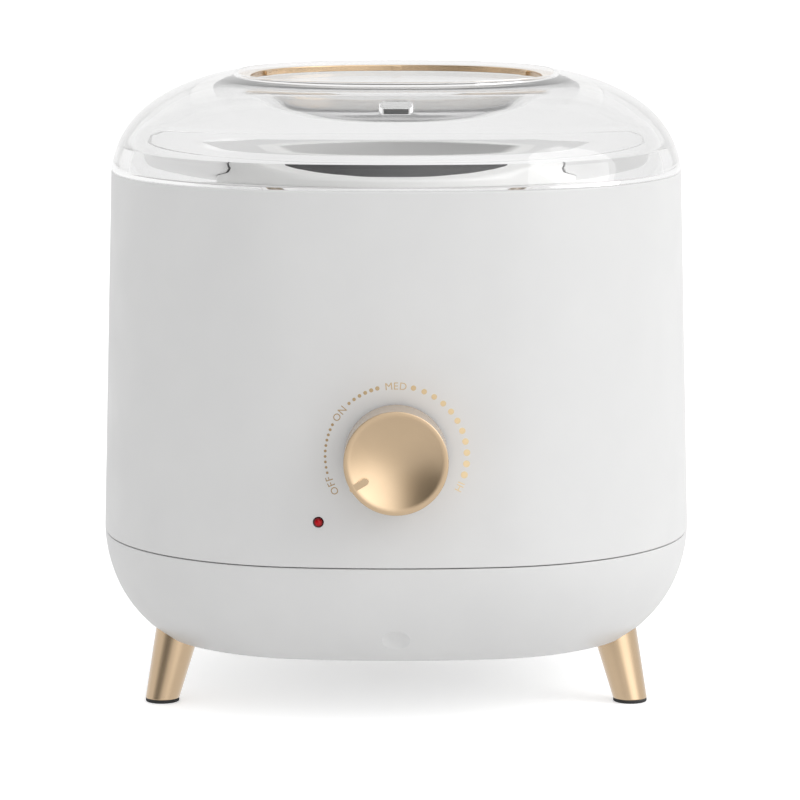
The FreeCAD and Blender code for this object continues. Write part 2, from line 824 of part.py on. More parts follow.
def leg_pads():
    for index, (name, angle) in enumerate(LEG_ANGLES.items()):
        body = new_body(f"LegPad{index}")
        sole = circle_sketch(body, f"PadSole{index}", 0, [(leg_centre(D.leg_base), 0)], D.leg_radius)
        pad(body, sole, D.leg_base)
        stem = circle_sketch(body, f"PadStem{index}", D.leg_base, [(leg_centre(D.leg_base), 0)],
                             D.leg_stem - D.fit)
        pad(body, stem, D.leg_stem_length - D.fit)
        finish(body, name.replace("leg", "leg_pad"), turn=about_z(angle))


def leg_screws():
    screws = []
    for index, angle in enumerate(LEG_ANGLES.values()):
        x, y = polar(leg_centre(D.leg_top), angle)
        length = D.leg_boss_top - D.leg_top + D.leg_screw_depth
        screws.append(screw(f"LegScrew{index}", D.leg_screw_radius, length, x, y,
                            D.leg_boss_top, UPSIDE_DOWN))
    finish(group("LegScrews", screws), "leg_screws")


# ---- pot, well and heater ------------------------------------------------------------------

def cup_points(radius, wall, bottom, corner, flange_radius, flange_base, flange_thick):
    top = flange_base + flange_thick
    return [(0, bottom), (radius - corner, bottom), (radius, bottom + corner), (radius, flange_base),
            (flange_radius, flange_base), (flange_radius, top), (radius - wall, top),
            (radius - wall, bottom + corner), (radius - corner, bottom + wall), (0, bottom + wall)]


def wax_pot():
    points = cup_points(D.pot_radius, D.pot_wall, D.pot_bottom, D.pot_corner,
                        D.pot_rim_radius, D.pot_rim_base, D.pot_rim_thick)
    arcs = {1: D.pot_corner, 7: D.pot_wall - D.pot_corner}
    finish(turned("WaxPot", points, arcs), "wax_pot")


def heater_well():
    outer = D.well_inner + D.well_wall
    points = cup_points(outer, D.well_wall, D.well_bottom, D.well_corner,
                        D.well_flange_radius, D.well_flange_base, D.well_flange_thick)
    arcs = {1: D.well_corner, 7: D.well_wall - D.well_corner}
    finish(turned("HeaterWell", points, arcs), "heater_well")


def open_sleeve(name, inner, outer, base, height, gap_angle):
    # A sleeve about Z that is open at the back.
    body = turned(name, [(inner, base), (outer, base), (outer, base + height), (inner, base + height)],
                  angle=360 - gap_angle)
    return body


def gap_turn(gap_angle):
    # A sweep from the XZ plane turns so that its gap is centred at the back, +Y.
    return about_z(90 + gap_angle.value / 2)


def heater_band():
    inner = D.well_inner + D.well_wall + D.fit
    body = open_sleeve("HeaterBand", inner, inner + D.band_thick, D.band_base, D.band_height,
                       D.band_gap_angle)
    finish(body, "heater_band", turn=gap_turn(D.band_gap_angle))


def strap_inner():
    return D.well_inner + D.well_wall + D.fit * 2 + D.band_thick


def band_strap():
    inner = strap_inner()
    outer = inner + D.strap_thick
    body = open_sleeve("BandStrap", inner, outer, D.strap_base, D.strap_height, D.strap_gap_angle)
    place(body, turn=gap_turn(D.strap_gap_angle))
    ears = []
    for side, left in (("Left", -D.strap_ear_gap / 2 - D.strap_thick), ("Right", D.strap_ear_gap / 2)):
        ears.append(box(f"StrapEar{side}", D.strap_thick, D.strap_ear, D.strap_height, left,
                        inner, D.strap_base))
    bore = cylinder("StrapBore", D.strap_hole, D.strap_ear_gap * 2, -D.strap_ear_gap,
                    inner + D.strap_hole_reach, D.strap_base + D.strap_height / 2, SIDEWAYS)
    finish(cut("BandStrapDrilled", fuse("BandStrapBlank", [body, *ears]), bore), "band_strap")


def strap_screw():
    length = D.strap_ear_gap + D.strap_thick * 2 + D.strap_screw_spare
    item = screw("StrapScrew", D.strap_screw_radius, length, 0, 0, 0)
    finish(item, "strap_screw", -D.strap_ear_gap / 2 - D.strap_thick,
           strap_inner() + D.strap_hole_reach, D.strap_base + D.strap_height / 2, SIDEWAYS)


def insulation_sleeve():
    body = open_sleeve("Insulation", D.blanket_inner, D.blanket_outer, D.blanket_base,
                       D.blanket_height, D.blanket_gap_angle)
    finish(body, "insulation_sleeve", turn=gap_turn(D.blanket_gap_angle))


def ring_holes():
    return [polar(D.ring_boss_offset, angle) for angle in RING_BOSS_ANGLES]


def retaining_ring():
    body = new_body("RetainingRing")
    sketch = circle_sketch(body, "RingPlan", D.ring_base, [(0, 0)], D.ring_radius)
    circle(sketch, 0, 0, D.well_inner + D.well_wall + D.fit)
    for x, y in ring_holes():
        circle(sketch, x, y, D.ring_boss_hole + D.screw_clearance)
    pad(body, sketch, D.ring_thick)
    finish(body, "retaining_ring")


def heat_reflector():
    outer = D.reflector_radius
    thick = D.sheet_thick
    low = D.reflector_bottom
    points = [(0, low), (outer, low), (outer, D.ring_base - thick), (D.ring_radius, D.ring_base - thick),
              (D.ring_radius, D.ring_base), (outer - thick, D.ring_base), (outer - thick, low + thick),
              (0, low + thick)]
    body = turned("HeatReflector", points)
    holes = circle_sketch(body, "ReflectorScrews", D.ring_base, ring_holes(),
                          D.ring_boss_hole + D.screw_clearance)
    pocket(body, holes, thick)
    spots = [(D.lead_spread, D.heater_lead_back), (-D.lead_spread, D.heater_lead_back)]
    leads = circle_sketch(body, "ReflectorLeads", low + thick, spots, D.lead_hole)
    pocket(body, leads, thick)
    finish(body, "heat_reflector")


def ring_screws():
    screws = []
    for index, (x, y) in enumerate(ring_holes()):
        screws.append(screw(f"RingScrew{index}", D.ring_screw_radius, D.ring_screw_length,
                            x, y, D.ring_base - D.sheet_thick))
    finish(group("RingScrews", screws), "ring_screws")


def thermal_fuse():
    can = cylinder("FuseCan", D.fuse_radius, D.fuse_length, -D.fuse_length / 2, 0, 0, SIDEWAYS)
    tails = cylinder("FuseTails", D.fuse_tail_radius, D.fuse_length * 2, -D.fuse_length, 0, 0, SIDEWAYS)
    finish(fuse("ThermalFuse", [can, tails]), "thermal_fuse", 0, 0, D.fuse_height)


def fuse_clip():
    body = new_body("FuseClip")
    sketch = new_sketch(body, "FuseClipProfile", "YZ_Plane", -D.clip_width / 2)
    top = D.well_bottom - D.fit
    low = D.fuse_height - D.fuse_radius - D.fit
    thick = D.clip_thick
    loop = D.clip_loop
    outline(sketch, [
        (-D.clip_half, top), (-D.clip_half, top - thick), (-loop, top - thick), (-loop, low - thick),
        (loop, low - thick), (loop, top - thick), (D.clip_half, top - thick), (D.clip_half, top),
        (loop - thick, top), (loop - thick, low), (thick - loop, low), (thick - loop, top)])
    pad(body, sketch, D.clip_width)
    finish(body, "fuse_clip")


# ---- knob and thermostat: drawn with Z forward, about the knob's axis --------------------------

def finish_front(item, label, x=0, height=D.knob_height):
    finish(item, label, x, 0, height, FORWARD)


def knob_shell():
    back = D.knob_back
    front = D.knob_front
    inner = D.knob_radius - D.knob_wall
    crown = front - D.knob_dish - D.knob_wall
    dish_radius = (D.knob_rim * D.knob_rim + D.knob_dish * D.knob_dish) / (D.knob_dish * 2)
    points = [(inner, back), (D.knob_radius, back), (D.knob_radius, front - D.knob_chamfer),
              (D.knob_radius - D.knob_chamfer, front), (D.knob_rim, front), (0, front - D.knob_dish),
              (0, crown), (inner, crown)]
    shell = turned("KnobShell", points, {4: -dish_radius})
    # A raised bar runs in from the rim and points at the scale.
    half = D.pointer_width / 2
    start_x, start_y = polar(D.pointer_inner, POINTER_ANGLE)
    side_x, side_y = polar(half, POINTER_ANGLE + 90)
    bar = box("KnobPointer", D.knob_rim + D.knob_chamfer - D.pointer_inner, D.pointer_width,
              front - crown, start_x - side_x, start_y - side_y, crown, about_z(POINTER_ANGLE))
    finish_front(fuse("KnobShellWithPointer", [shell, bar]), "knob_shell")


def knob_hub():
    crown = D.knob_front - D.knob_dish - D.knob_wall
    bore = D.shaft_radius + D.fit
    rim = D.knob_radius - D.knob_wall - D.fit
    top = crown - D.fit
    inner = rim - D.hub_web
    floor = top - D.hub_web
    foot = D.knob_back + D.hub_inset
    skirt = D.knob_back + D.hub_skirt_inset
    end = D.shaft_front + D.shaft_end_room
    points = [(bore, foot), (D.hub_radius, foot), (D.hub_radius, floor), (inner, floor),
              (inner, skirt), (rim, skirt), (rim, top), (0, top), (0, end), (bore, end)]
    finish_front(turned("KnobHub", points), "knob_hub")


def thermostat_shaft():
    body = new_body("ThermostatShaft")
    length = D.shaft_front - D.shaft_back
    pad(body, circle_sketch(body, "ShaftRod", D.shaft_back, [(0, 0)], D.shaft_radius), length)
    flat = new_sketch(body, "ShaftFlat", "XY_Plane", D.shaft_front)
    reach = D.shaft_radius + D.past
    rectangle(flat, -reach, reach, D.shaft_flat, reach)
    pocket(body, flat, D.shaft_front - D.shaft_flat_back)
    finish_front(body, "thermostat_shaft")


def thermostat_body():
    body = new_body("ThermostatBody")
    half = D.thermostat_half
    case = new_sketch(body, "ThermostatCase", "XY_Plane", D.thermostat_back)
    flat = half - D.thermostat_corner
    outline(case, [(-flat, -half), (flat, -half), (half, -flat), (half, flat),
                   (flat, half), (-flat, half), (-half, flat), (-half, -flat)])
    pad(body, case, D.thermostat_front - D.thermostat_back)
    bushing = circle_sketch(body, "ThermostatBushing", D.thermostat_front, [(0, 0)], D.bushing_radius)
    pad(body, bushing, D.bushing_front - D.thermostat_front)
    bore = circle_sketch(body, "ThermostatBore", D.bushing_front, [(0, 0)], D.shaft_radius + D.fit)
    pocket(body, bore, D.bushing_front - D.shaft_back + D.thermostat_bore_room)
    tabs = new_sketch(body, "ThermostatTabs", "XY_Plane", D.thermostat_back)
    for side in (-1, 1):
        middle = D.lead_spread * side
        rectangle(tabs, middle - D.tab_half, middle + D.tab_half, D.tab_low, D.tab_high)
    pad(body, tabs, D.tab_length, backwards=True)
    finish_front(body, "thermostat_body")


def thermostat_bracket():
    body = new_body("ThermostatBracket")
    plate = new_sketch(body, "BracketPlate", "XY_Plane", D.thermostat_front)
    rectangle(plate, -D.bracket_half, D.bracket_half, -D.bracket_rise, D.bracket_rise)
    circle(plate, 0, 0, D.bushing_radius + D.screw_clearance)
    circle(plate, D.bracket_boss_offset, 0, D.bracket_hole)
    circle(plate, -D.bracket_boss_offset, 0, D.bracket_hole)
    pad(body, plate, D.bracket_thick)
    finish_front(body, "thermostat_bracket")


def thermostat_nut():
    base = D.thermostat_front + D.bracket_thick
    nut = prism("NutBlank", D.nut_radius, D.nut_thick, z=base)
    bore = cylinder("NutBore", D.bushing_radius + D.fit, D.nut_thick + D.past * 2, z=base - D.past)
    finish_front(cut("ThermostatNut", nut, bore), "thermostat_nut")


def bracket_screws():
    screws = []
    for index, side in enumerate((-1, 1)):
        screws.append(screw(f"BracketScrew{index}", D.bracket_screw_radius, D.bracket_screw_length,
                            D.bracket_boss_offset * side, 0, D.thermostat_front))
    finish_front(group("BracketScrews", screws), "bracket_screws")


# ---- indicator -----------------------------------------------------------------------------

def indicator_lens():
    shoulder = D.lamp_tip - D.lamp_radius
    collar = D.lamp_back + D.lamp_flange_thick
    points = [(0, D.lamp_back), (D.lamp_flange, D.lamp_back), (D.lamp_flange, collar),
              (D.lamp_radius, collar), (D.lamp_radius, shoulder), (0, D.lamp_tip)]
    body = turned("IndicatorLens", points, {4: D.lamp_radius})
    finish_front(body, "indicator_lens", -D.lamp_offset, D.lamp_height)


def indicator_holder():
    bore = D.lamp_radius + D.fit
    recess = D.lamp_flange + D.fit
    step = D.lamp_back + D.lamp_flange_thick + D.fit
    points = [(bore, step), (recess, step), (recess, D.holder_back), (D.holder_radius, D.holder_back),
              (D.holder_radius, D.holder_front), (bore, D.holder_front)]
    finish_front(turned("IndicatorHolder", points), "indicator_holder", -D.lamp_offset, D.lamp_height)


def lamp_board():
    body = new_body("LampBoard")
    sketch = new_sketch(body, "LampBoardPlan", "XY_Plane", D.holder_back - D.fit)
    rectangle(sketch, -D.board_half, D.board_half, -D.board_drop, D.board_rise)
    pad(body, sketch, D.board_thick, backwards=True)
    finish_front(body, "lamp_board", -D.lamp_offset, D.lamp_height)


# ---- cord inlet and wiring -------------------------------------------------------------------

def cord_gland():
    points = [(D.gland_bore, D.gland_front), (D.gland_radius, D.gland_front),
              (D.gland_radius, D.gland_seat), (D.gland_flange, D.gland_seat),
              (D.gland_flange, D.gland_back), (D.gland_bore, D.gland_back)]
    finish(turned("CordGland", points), "cord_gland", 0, 0, D.gland_height, BACKWARD)


def gland_nut():
    nut = prism("GlandNutBlank", D.gland_nut_radius, D.gland_nut_thick, z=D.gland_nut_front)
    bore = cylinder("GlandNutBore", D.gland_radius + D.fit, D.gland_nut_thick + D.past * 2,
                    z=D.gland_nut_front - D.past)
    item = cut("GlandNut", nut, bore)
    finish(item, "gland_nut", 0, 0, D.gland_height, BACKWARD)


def terminal_block():
    body = new_body("TerminalBlock")
    floor = D.base_height + D.wall
    base = new_sketch(body, "BlockPlan", "XY_Plane", floor)
    depth = D.block_depth / 2
    rectangle(base, -D.block_half, D.block_half, D.block_back - depth, D.block_back + depth)
    pad(body, base, D.block_height)
    spots = [(D.block_pitch * step, D.block_back) for step in (-1, 0, 1)]
    wells = circle_sketch(body, "BlockWells", floor + D.block_height, spots, D.block_well)
    pocket(body, wells, D.block_well_depth)
    finish(body, "terminal_block")


def terminal_screws():
    top = D.base_height + D.wall + D.block_height - D.block_well_depth
    screws = []
    for index, step in enumerate((-1, 0, 1)):
        head = cylinder(f"TerminalScrew{index}Head", D.block_screw_radius, D.block_screw_height)
        slot = box(f"TerminalScrew{index}Slot", D.block_screw_radius * 4, D.screw_slot_width, D.past * 2,
                   -D.block_screw_radius * 2, -D.screw_slot_width / 2,
                   D.block_screw_height - D.screw_slot_depth)
        item = cut(f"TerminalScrew{index}", head, slot)
        place(item, D.block_pitch * step, D.block_back, top)
        screws.append(item)
    finish(group("TerminalScrews", screws), "terminal_screws")


def lead_start():
    # Just above the terminal block.
    return D.base_height + D.wall + D.block_height + D.fit


def control_lead(name, x):
    # Rises from the terminal block, bends and runs forward to the thermostat.
    body = new_body(name)
    start = lead_start()
    back = D.control_lead_back
    run = D.lead_run_height
    front = D.fit - D.thermostat_back
    path = new_sketch(body, name + "Path", "YZ_Plane", x)
    low = FreeCAD.Vector(back.value, start.value, 0)
    knee = FreeCAD.Vector(back.value, (run - D.lead_bend).value, 0)
    past = FreeCAD.Vector((back - D.lead_bend).value, run.value, 0)
    far = FreeCAD.Vector(front.value, run.value, 0)
    rise = path.addGeometry(Part.LineSegment(low, knee))
    bend = path.addGeometry(arc_between(knee, past, D.lead_bend.value))
    level = path.addGeometry(Part.LineSegment(past, far))
    path.addConstraint(Sketcher.Constraint("Coincident", rise, 2, bend, 1))
    path.addConstraint(Sketcher.Constraint("Coincident", bend, 2, level, 1))
    at(path, (rise, 1), back, start)
    at(path, (rise, 2), back, run - D.lead_bend)
    at(path, (level, 1), back - D.lead_bend, run)
    at(path, (level, 2), front, run)
    dimension(path, "Radius", (bend,), D.lead_bend)
    section = circle_sketch(body, name + "Section", start, [(x, back)], D.lead_radius)
    pipe = body.newObject("PartDesign::AdditivePipe", name + "Pipe")
    pipe.Profile = section
    pipe.Spine = path
    return body


def lead_wires():
    start = lead_start()
    wires = []
    for index, side in enumerate((-1, 1)):
        x = D.lead_spread * side
        wires.append(cylinder(f"HeaterLead{index}", D.lead_radius, D.heater_lead_top - start,
                              x, D.heater_lead_back, start))
        wires.append(control_lead(f"ControlLead{index}", x))
    finish(group("LeadWires", wires), "lead_wires")


lid_dome()
lid_trim_ring()
upper_housing()
lower_shell()
housing_screws()
legs()
leg_pads()
leg_screws()
wax_pot()
heater_well()
heater_band()
band_strap()
strap_screw()
insulation_sleeve()
retaining_ring()
heat_reflector()
ring_screws()
thermal_fuse()
fuse_clip()
knob_shell()
knob_hub()
thermostat_shaft()
thermostat_body()
thermostat_bracket()
thermostat_nut()
bracket_screws()
indicator_lens()
indicator_holder()
lamp_board()
cord_gland()
gland_nut()
terminal_block()
terminal_screws()
lead_wires()
doc.recompute()

for item in doc.Objects:
    if "Invalid" in item.State or "Error" in item.State:
        raise RuntimeError(f"{item.Name} failed: {item.State}")
for item in FINISHED:
    if item.Shape.isNull() or not item.Shape.isValid():
        raise RuntimeError(f"{item.Label} has no valid shape")

os.makedirs("parts", exist_ok=True)
whole = FreeCAD.BoundBox()
for item in FINISHED:
    item.Shape.exportStep(f"parts/{item.Label}.step")
    whole.add(item.Shape.optimalBoundingBox(False))
    print(f"{item.Label}: {len(item.Shape.Solids)} solids, {item.Shape.Volume:.0f} mm3")
print(f"{len(FINISHED)} sub-parts, x {whole.XMin:.2f} {whole.XMax:.2f}, "
      f"y {whole.YMin:.2f} {whole.YMax:.2f}, z {whole.ZMin:.2f} {whole.ZMax:.2f}")
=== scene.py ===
import bpy
import bmesh
from math import asin, atan2, cos, degrees, hypot, pi, radians, sin, sqrt
from mathutils import Matrix, Vector


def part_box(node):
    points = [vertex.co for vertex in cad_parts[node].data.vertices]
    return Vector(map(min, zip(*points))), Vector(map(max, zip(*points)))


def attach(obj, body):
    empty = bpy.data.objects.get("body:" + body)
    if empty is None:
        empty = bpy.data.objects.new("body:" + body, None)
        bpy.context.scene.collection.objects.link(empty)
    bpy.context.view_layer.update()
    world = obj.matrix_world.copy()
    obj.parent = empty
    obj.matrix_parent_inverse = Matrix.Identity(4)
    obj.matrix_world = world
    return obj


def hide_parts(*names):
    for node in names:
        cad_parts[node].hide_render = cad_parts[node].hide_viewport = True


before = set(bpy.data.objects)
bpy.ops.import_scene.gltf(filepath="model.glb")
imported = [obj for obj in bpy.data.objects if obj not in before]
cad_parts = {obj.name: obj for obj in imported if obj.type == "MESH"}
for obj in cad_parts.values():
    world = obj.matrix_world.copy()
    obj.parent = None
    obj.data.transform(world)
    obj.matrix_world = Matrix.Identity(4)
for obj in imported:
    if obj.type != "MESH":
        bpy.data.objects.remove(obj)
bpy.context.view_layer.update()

mm = 0.001
housingLow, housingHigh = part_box("upper_housing")
axisY = (housingLow.y + housingHigh.y) / 2 / mm     # the housing's upright axis, in mm

# camera, floor and light

viewSpec = {
    "lens": 185.75, "sensor": 36.0, "pitchDown": 0.148,
    "side": 1.15, "back": 1265.94, "height": 274.74, "farthest": 20,
}
lightSpec = {
    # directions are (degrees right of the camera, degrees up); bands are cosines from the middle
    "keyToward": (72, 34), "keySpread": 0.8, "keyStrength": 1.08,
    "fill": 0.72, "room": 1.0,
    "darkToward": (-38, 27), "darkBand": (0.71, 0.97), "darkDepth": 0.88,
    "brightToward": (33, 27), "brightBand": (0.68, 0.98), "brightGain": 1.4,
}
floorSpec = {"size": 9000, "drop": 0.1, "colour": (0.92, 0.92, 0.92, 1), "lift": 0.53,
             "rough": 0.6, "specular": 0.2}

scene = bpy.context.scene
scene.view_settings.view_transform = "Standard"


def node(tree, kind, inputs=None, **settings):
    # adds a node, sets its sockets from inputs and its own options from settings
    made = tree.nodes.new(kind)
    for key, value in settings.items():
        setattr(made, key, value)
    for key, value in (inputs or {}).items():
        if isinstance(value, bpy.types.NodeSocket):
            tree.links.new(value, made.inputs[key])
        else:
            made.inputs[key].default_value = value
    return made


def mixColour(tree, factor, first, second):
    # sockets 0, 6 and 7 are the factor and the two colours
    made = node(tree, "ShaderNodeMix", {0: factor, 6: first, 7: second}, data_type="RGBA")
    return made.outputs[2]


def ramp(tree, value, low, high, toLow=0.0, toHigh=1.0):
    made = node(tree, "ShaderNodeMapRange", {"Value": value, "From Min": low, "From Max": high,
                                             "To Min": toLow, "To Max": toHigh})
    return made.outputs[0]


def maths(tree, operation, first, second):
    return node(tree, "ShaderNodeMath", {0: first, 1: second}, operation=operation).outputs[0]


def vectorMaths(tree, operation, first, second):
    return node(tree, "ShaderNodeVectorMath", {0: first, 1: second}, operation=operation).outputs[0]


def objectPlace(tree):
    return node(tree, "ShaderNodeTexCoord").outputs["Object"]


def reachFrom(tree, centre, counted):
    # distance from the centre along the axes that are 1 in counted
    flat = vectorMaths(tree, "MULTIPLY", vectorMaths(tree, "SUBTRACT", objectPlace(tree), centre), counted)
    return node(tree, "ShaderNodeVectorMath", {0: flat}, operation="LENGTH").outputs["Value"]


def newMaterial(name):
    material = bpy.data.materials.new(name)
    material.use_nodes = True
    tree = material.node_tree
    return material, tree, tree.nodes["Principled BSDF"]


def makeCamera():
    data = bpy.data.cameras.new("viewCamera")
    data.lens = viewSpec["lens"]
    data.sensor_width = viewSpec["sensor"]
    camera = bpy.data.objects.new("viewCamera", data)
    scene.collection.objects.link(camera)
    camera.location = Vector((viewSpec["side"], axisY - viewSpec["back"], viewSpec["height"])) * mm
    camera.rotation_euler = (pi / 2 - viewSpec["pitchDown"], 0, 0)
    data.clip_end = viewSpec["farthest"]
    scene.camera = camera


def wayTo(right, up):
    # a unit vector from the object, in degrees right of the camera and above the floor
    right, up = radians(right), radians(up)
    return Vector((sin(right) * cos(up), -cos(right) * cos(up), sin(up)))


def makeLights():
    data = bpy.data.lights.new("keyLight", "SUN")
    data.angle = lightSpec["keySpread"]
    data.energy = lightSpec["keyStrength"]
    key = bpy.data.objects.new("keyLight", data)
    scene.collection.objects.link(key)
    toward = wayTo(*lightSpec["keyToward"])
    key.location = toward
    key.rotation_euler = toward.to_track_quat("Z", "Y").to_euler()


def glow(tree, way, toward, band):
    # 0 to 1 as the way turns to face the middle of a patch of the room
    facing = node(tree, "ShaderNodeVectorMath", {0: way, 1: wayTo(*toward)}, operation="DOT_PRODUCT")
    patch = node(tree, "ShaderNodeMapRange", {"Value": facing.outputs["Value"], "From Min": band[0],
                                              "From Max": band[1]}, interpolation_type="SMOOTHSTEP")
    return patch.outputs[0]


def roomLevel(tree, way):
    # a white room with a dark wall at the front left and a wide soft window at the front right
    dark = glow(tree, way, lightSpec["darkToward"], lightSpec["darkBand"])
    bright = glow(tree, way, lightSpec["brightToward"], lightSpec["brightBand"])
    level = maths(tree, "ADD", maths(tree, "MULTIPLY", dark, -lightSpec["darkDepth"]), lightSpec["room"])
    return maths(tree, "ADD", level, maths(tree, "MULTIPLY", bright, lightSpec["brightGain"]))


def makeWorld():
    world = bpy.data.worlds.new("softRoom")
    scene.world = world
    world.use_nodes = True
    world.cycles.sampling_method = "NONE"     # each kind of ray then meets its own level
    tree = world.node_tree
    tree.nodes.clear()
    way = node(tree, "ShaderNodeTexCoord").outputs["Generated"]
    path = node(tree, "ShaderNodeLightPath").outputs
    direct = maths(tree, "MAXIMUM", path["Is Camera Ray"], path["Is Transmission Ray"])
    direct = maths(tree, "MAXIMUM", direct, path["Is Glossy Ray"])
    level = ramp(tree, direct, 0, 1, lightSpec["fill"], roomLevel(tree, way))
    # what has passed through the clear lid sees the plain white of the room
    beyond = maths(tree, "GREATER_THAN", path["Transmission Depth"], 0.5)
    beyond = maths(tree, "MULTIPLY", beyond, direct)
    level = ramp(tree, beyond, 0, 1, level, lightSpec["room"])
    room = node(tree, "ShaderNodeBackground", {"Color": (1, 1, 1, 1), "Strength": level})
    out = node(tree, "ShaderNodeOutputWorld")
    tree.links.new(room.outputs[0], out.inputs["Surface"])


def makeFloor():
    form = bmesh.new()
    bmesh.ops.create_grid(form, x_segments=1, y_segments=1, size=floorSpec["size"] / 2 * mm)
    bmesh.ops.translate(form, vec=(0, 0, -floorSpec["drop"] * mm), verts=form.verts)
    mesh = bpy.data.meshes.new("floorSheet")
    form.to_mesh(mesh)
    form.free()
    floor = bpy.data.objects.new("floorSheet", mesh)
    scene.collection.objects.link(floor)
    material, tree, shader = newMaterial("paleFloor")
    shader.inputs["Roughness"].default_value = floorSpec["rough"]
    shader.inputs["Specular IOR Level"].default_value = floorSpec["specular"]
    shader.inputs["Base Color"].default_value = floorSpec["colour"]
    path = node(tree, "ShaderNodeLightPath").outputs
    direct = maths(tree, "MAXIMUM", path["Is Camera Ray"], path["Is Transmission Ray"])
    lift = maths(tree, "MULTIPLY", direct, floorSpec["lift"])
    shader.inputs["Emission Color"].default_value = (1, 1, 1, 1)
    tree.links.new(lift, shader.inputs["Emission Strength"])
    # reflections see the room carry on below the floor line
    back = node(tree, "ShaderNodeNewGeometry").outputs["Incoming"]
    way = node(tree, "ShaderNodeVectorMath", {0: back, "Scale": -1.0}, operation="SCALE").outputs[0]
    room = node(tree, "ShaderNodeEmission", {"Strength": roomLevel(tree, way)})
    both = node(tree, "ShaderNodeMixShader", {0: path["Is Glossy Ray"], 1: shader.outputs[0],
                                              2: room.outputs[0]})
    tree.links.new(both.outputs[0], tree.nodes["Material Output"].inputs["Surface"])
    mesh.materials.append(material)


makeCamera()
makeWorld()
makeLights()
makeFloor()
print("camera, floor and light done")

# shared shader groups


def newGroup(name, inputs, outputs):
    tree = bpy.data.node_groups.new(name, "ShaderNodeTree")
    for label, kind, value in inputs:
        socket = tree.interface.new_socket(label, in_out="INPUT", socket_type=kind)
        socket.default_value = value
    for label, kind in outputs:
        tree.interface.new_socket(label, in_out="OUTPUT", socket_type=kind)
    return tree, tree.nodes.new("NodeGroupInput"), tree.nodes.new("NodeGroupOutput")


def buildFineGrain():
    # spark-eroded mould texture or bead-blast grain: two noises at the grain's own scale
    tree, given, out = newGroup(
        "fineGrain",
        [("Scale", "NodeSocketFloat", 2500.0), ("Stretch", "NodeSocketVector", (1, 1, 1))],
        [("Height", "NodeSocketFloat"), ("Mottle", "NodeSocketFloat")])
    place = vectorMaths(tree, "MULTIPLY", objectPlace(tree), given.outputs["Stretch"])
    fine = node(tree, "ShaderNodeTexNoise", {"Vector": place, "Scale": given.outputs["Scale"],
                                             "Detail": 3.0, "Roughness": 0.6})
    cells = node(tree, "ShaderNodeTexVoronoi", {"Vector": place, "Scale": given.outputs["Scale"]},
                 feature="SMOOTH_F1")
    slow = node(tree, "ShaderNodeTexNoise", {"Vector": place, "Scale": 60.0, "Detail": 4.0})
    height = maths(tree, "ADD", fine.outputs[0], maths(tree, "MULTIPLY", cells.outputs["Distance"], 0.5))
    tree.links.new(height, out.inputs["Height"])
    tree.links.new(ramp(tree, slow.outputs[0], 0.3, 0.7), out.inputs["Mottle"])
    return tree


def buildEdgeRub():
    # a mask that is 1 on sharp outer edges, broken up by noise
    tree, given, out = newGroup(
        "edgeRub",
        [("Width", "NodeSocketFloat", 0.0005), ("Breakup", "NodeSocketFloat", 400.0)],
        [("Mask", "NodeSocketFloat")])
    rounded = node(tree, "ShaderNodeBevel", {"Radius": given.outputs["Width"]}, samples=3)
    plain = node(tree, "ShaderNodeNewGeometry")
    alike = node(tree, "ShaderNodeVectorMath", {0: rounded.outputs[0], 1: plain.outputs["Normal"]},
                 operation="DOT_PRODUCT").outputs["Value"]
    edge = ramp(tree, alike, 0.995, 0.90)
    noise = node(tree, "ShaderNodeTexNoise", {"Vector": objectPlace(tree), "Scale": given.outputs["Breakup"],
                                              "Detail": 2.0})
    tree.links.new(maths(tree, "MULTIPLY", edge, ramp(tree, noise.outputs[0], 0.35, 0.65)),
                   out.inputs["Mask"])
    return tree


def buildDustFall():
    # a thin veil of dust and finger haze on what faces up
    tree, given, out = newGroup(
        "dustFall",
        [("Amount", "NodeSocketFloat", 0.3), ("Scale", "NodeSocketFloat", 90.0)],
        [("Mask", "NodeSocketFloat")])
    normal = node(tree, "ShaderNodeNewGeometry").outputs["Normal"]
    upward = node(tree, "ShaderNodeSeparateXYZ", {0: normal}).outputs["Z"]
    noise = node(tree, "ShaderNodeTexNoise", {"Vector": objectPlace(tree), "Scale": given.outputs["Scale"],
                                              "Detail": 6.0, "Roughness": 0.7})
    veil = maths(tree, "MULTIPLY", ramp(tree, upward, 0.1, 1.0), ramp(tree, noise.outputs[0], 0.35, 0.75))
    tree.links.new(maths(tree, "MULTIPLY", veil, given.outputs["Amount"]), out.inputs["Mask"])
    return tree


fineGrain = buildFineGrain()
edgeRub = buildEdgeRub()
dustFall = buildDustFall()


def addGroup(tree, group, inputs=None):
    made = tree.nodes.new("ShaderNodeGroup")
    made.node_tree = group
    for key, value in (inputs or {}).items():
        made.inputs[key].default_value = value
    return made


# materials

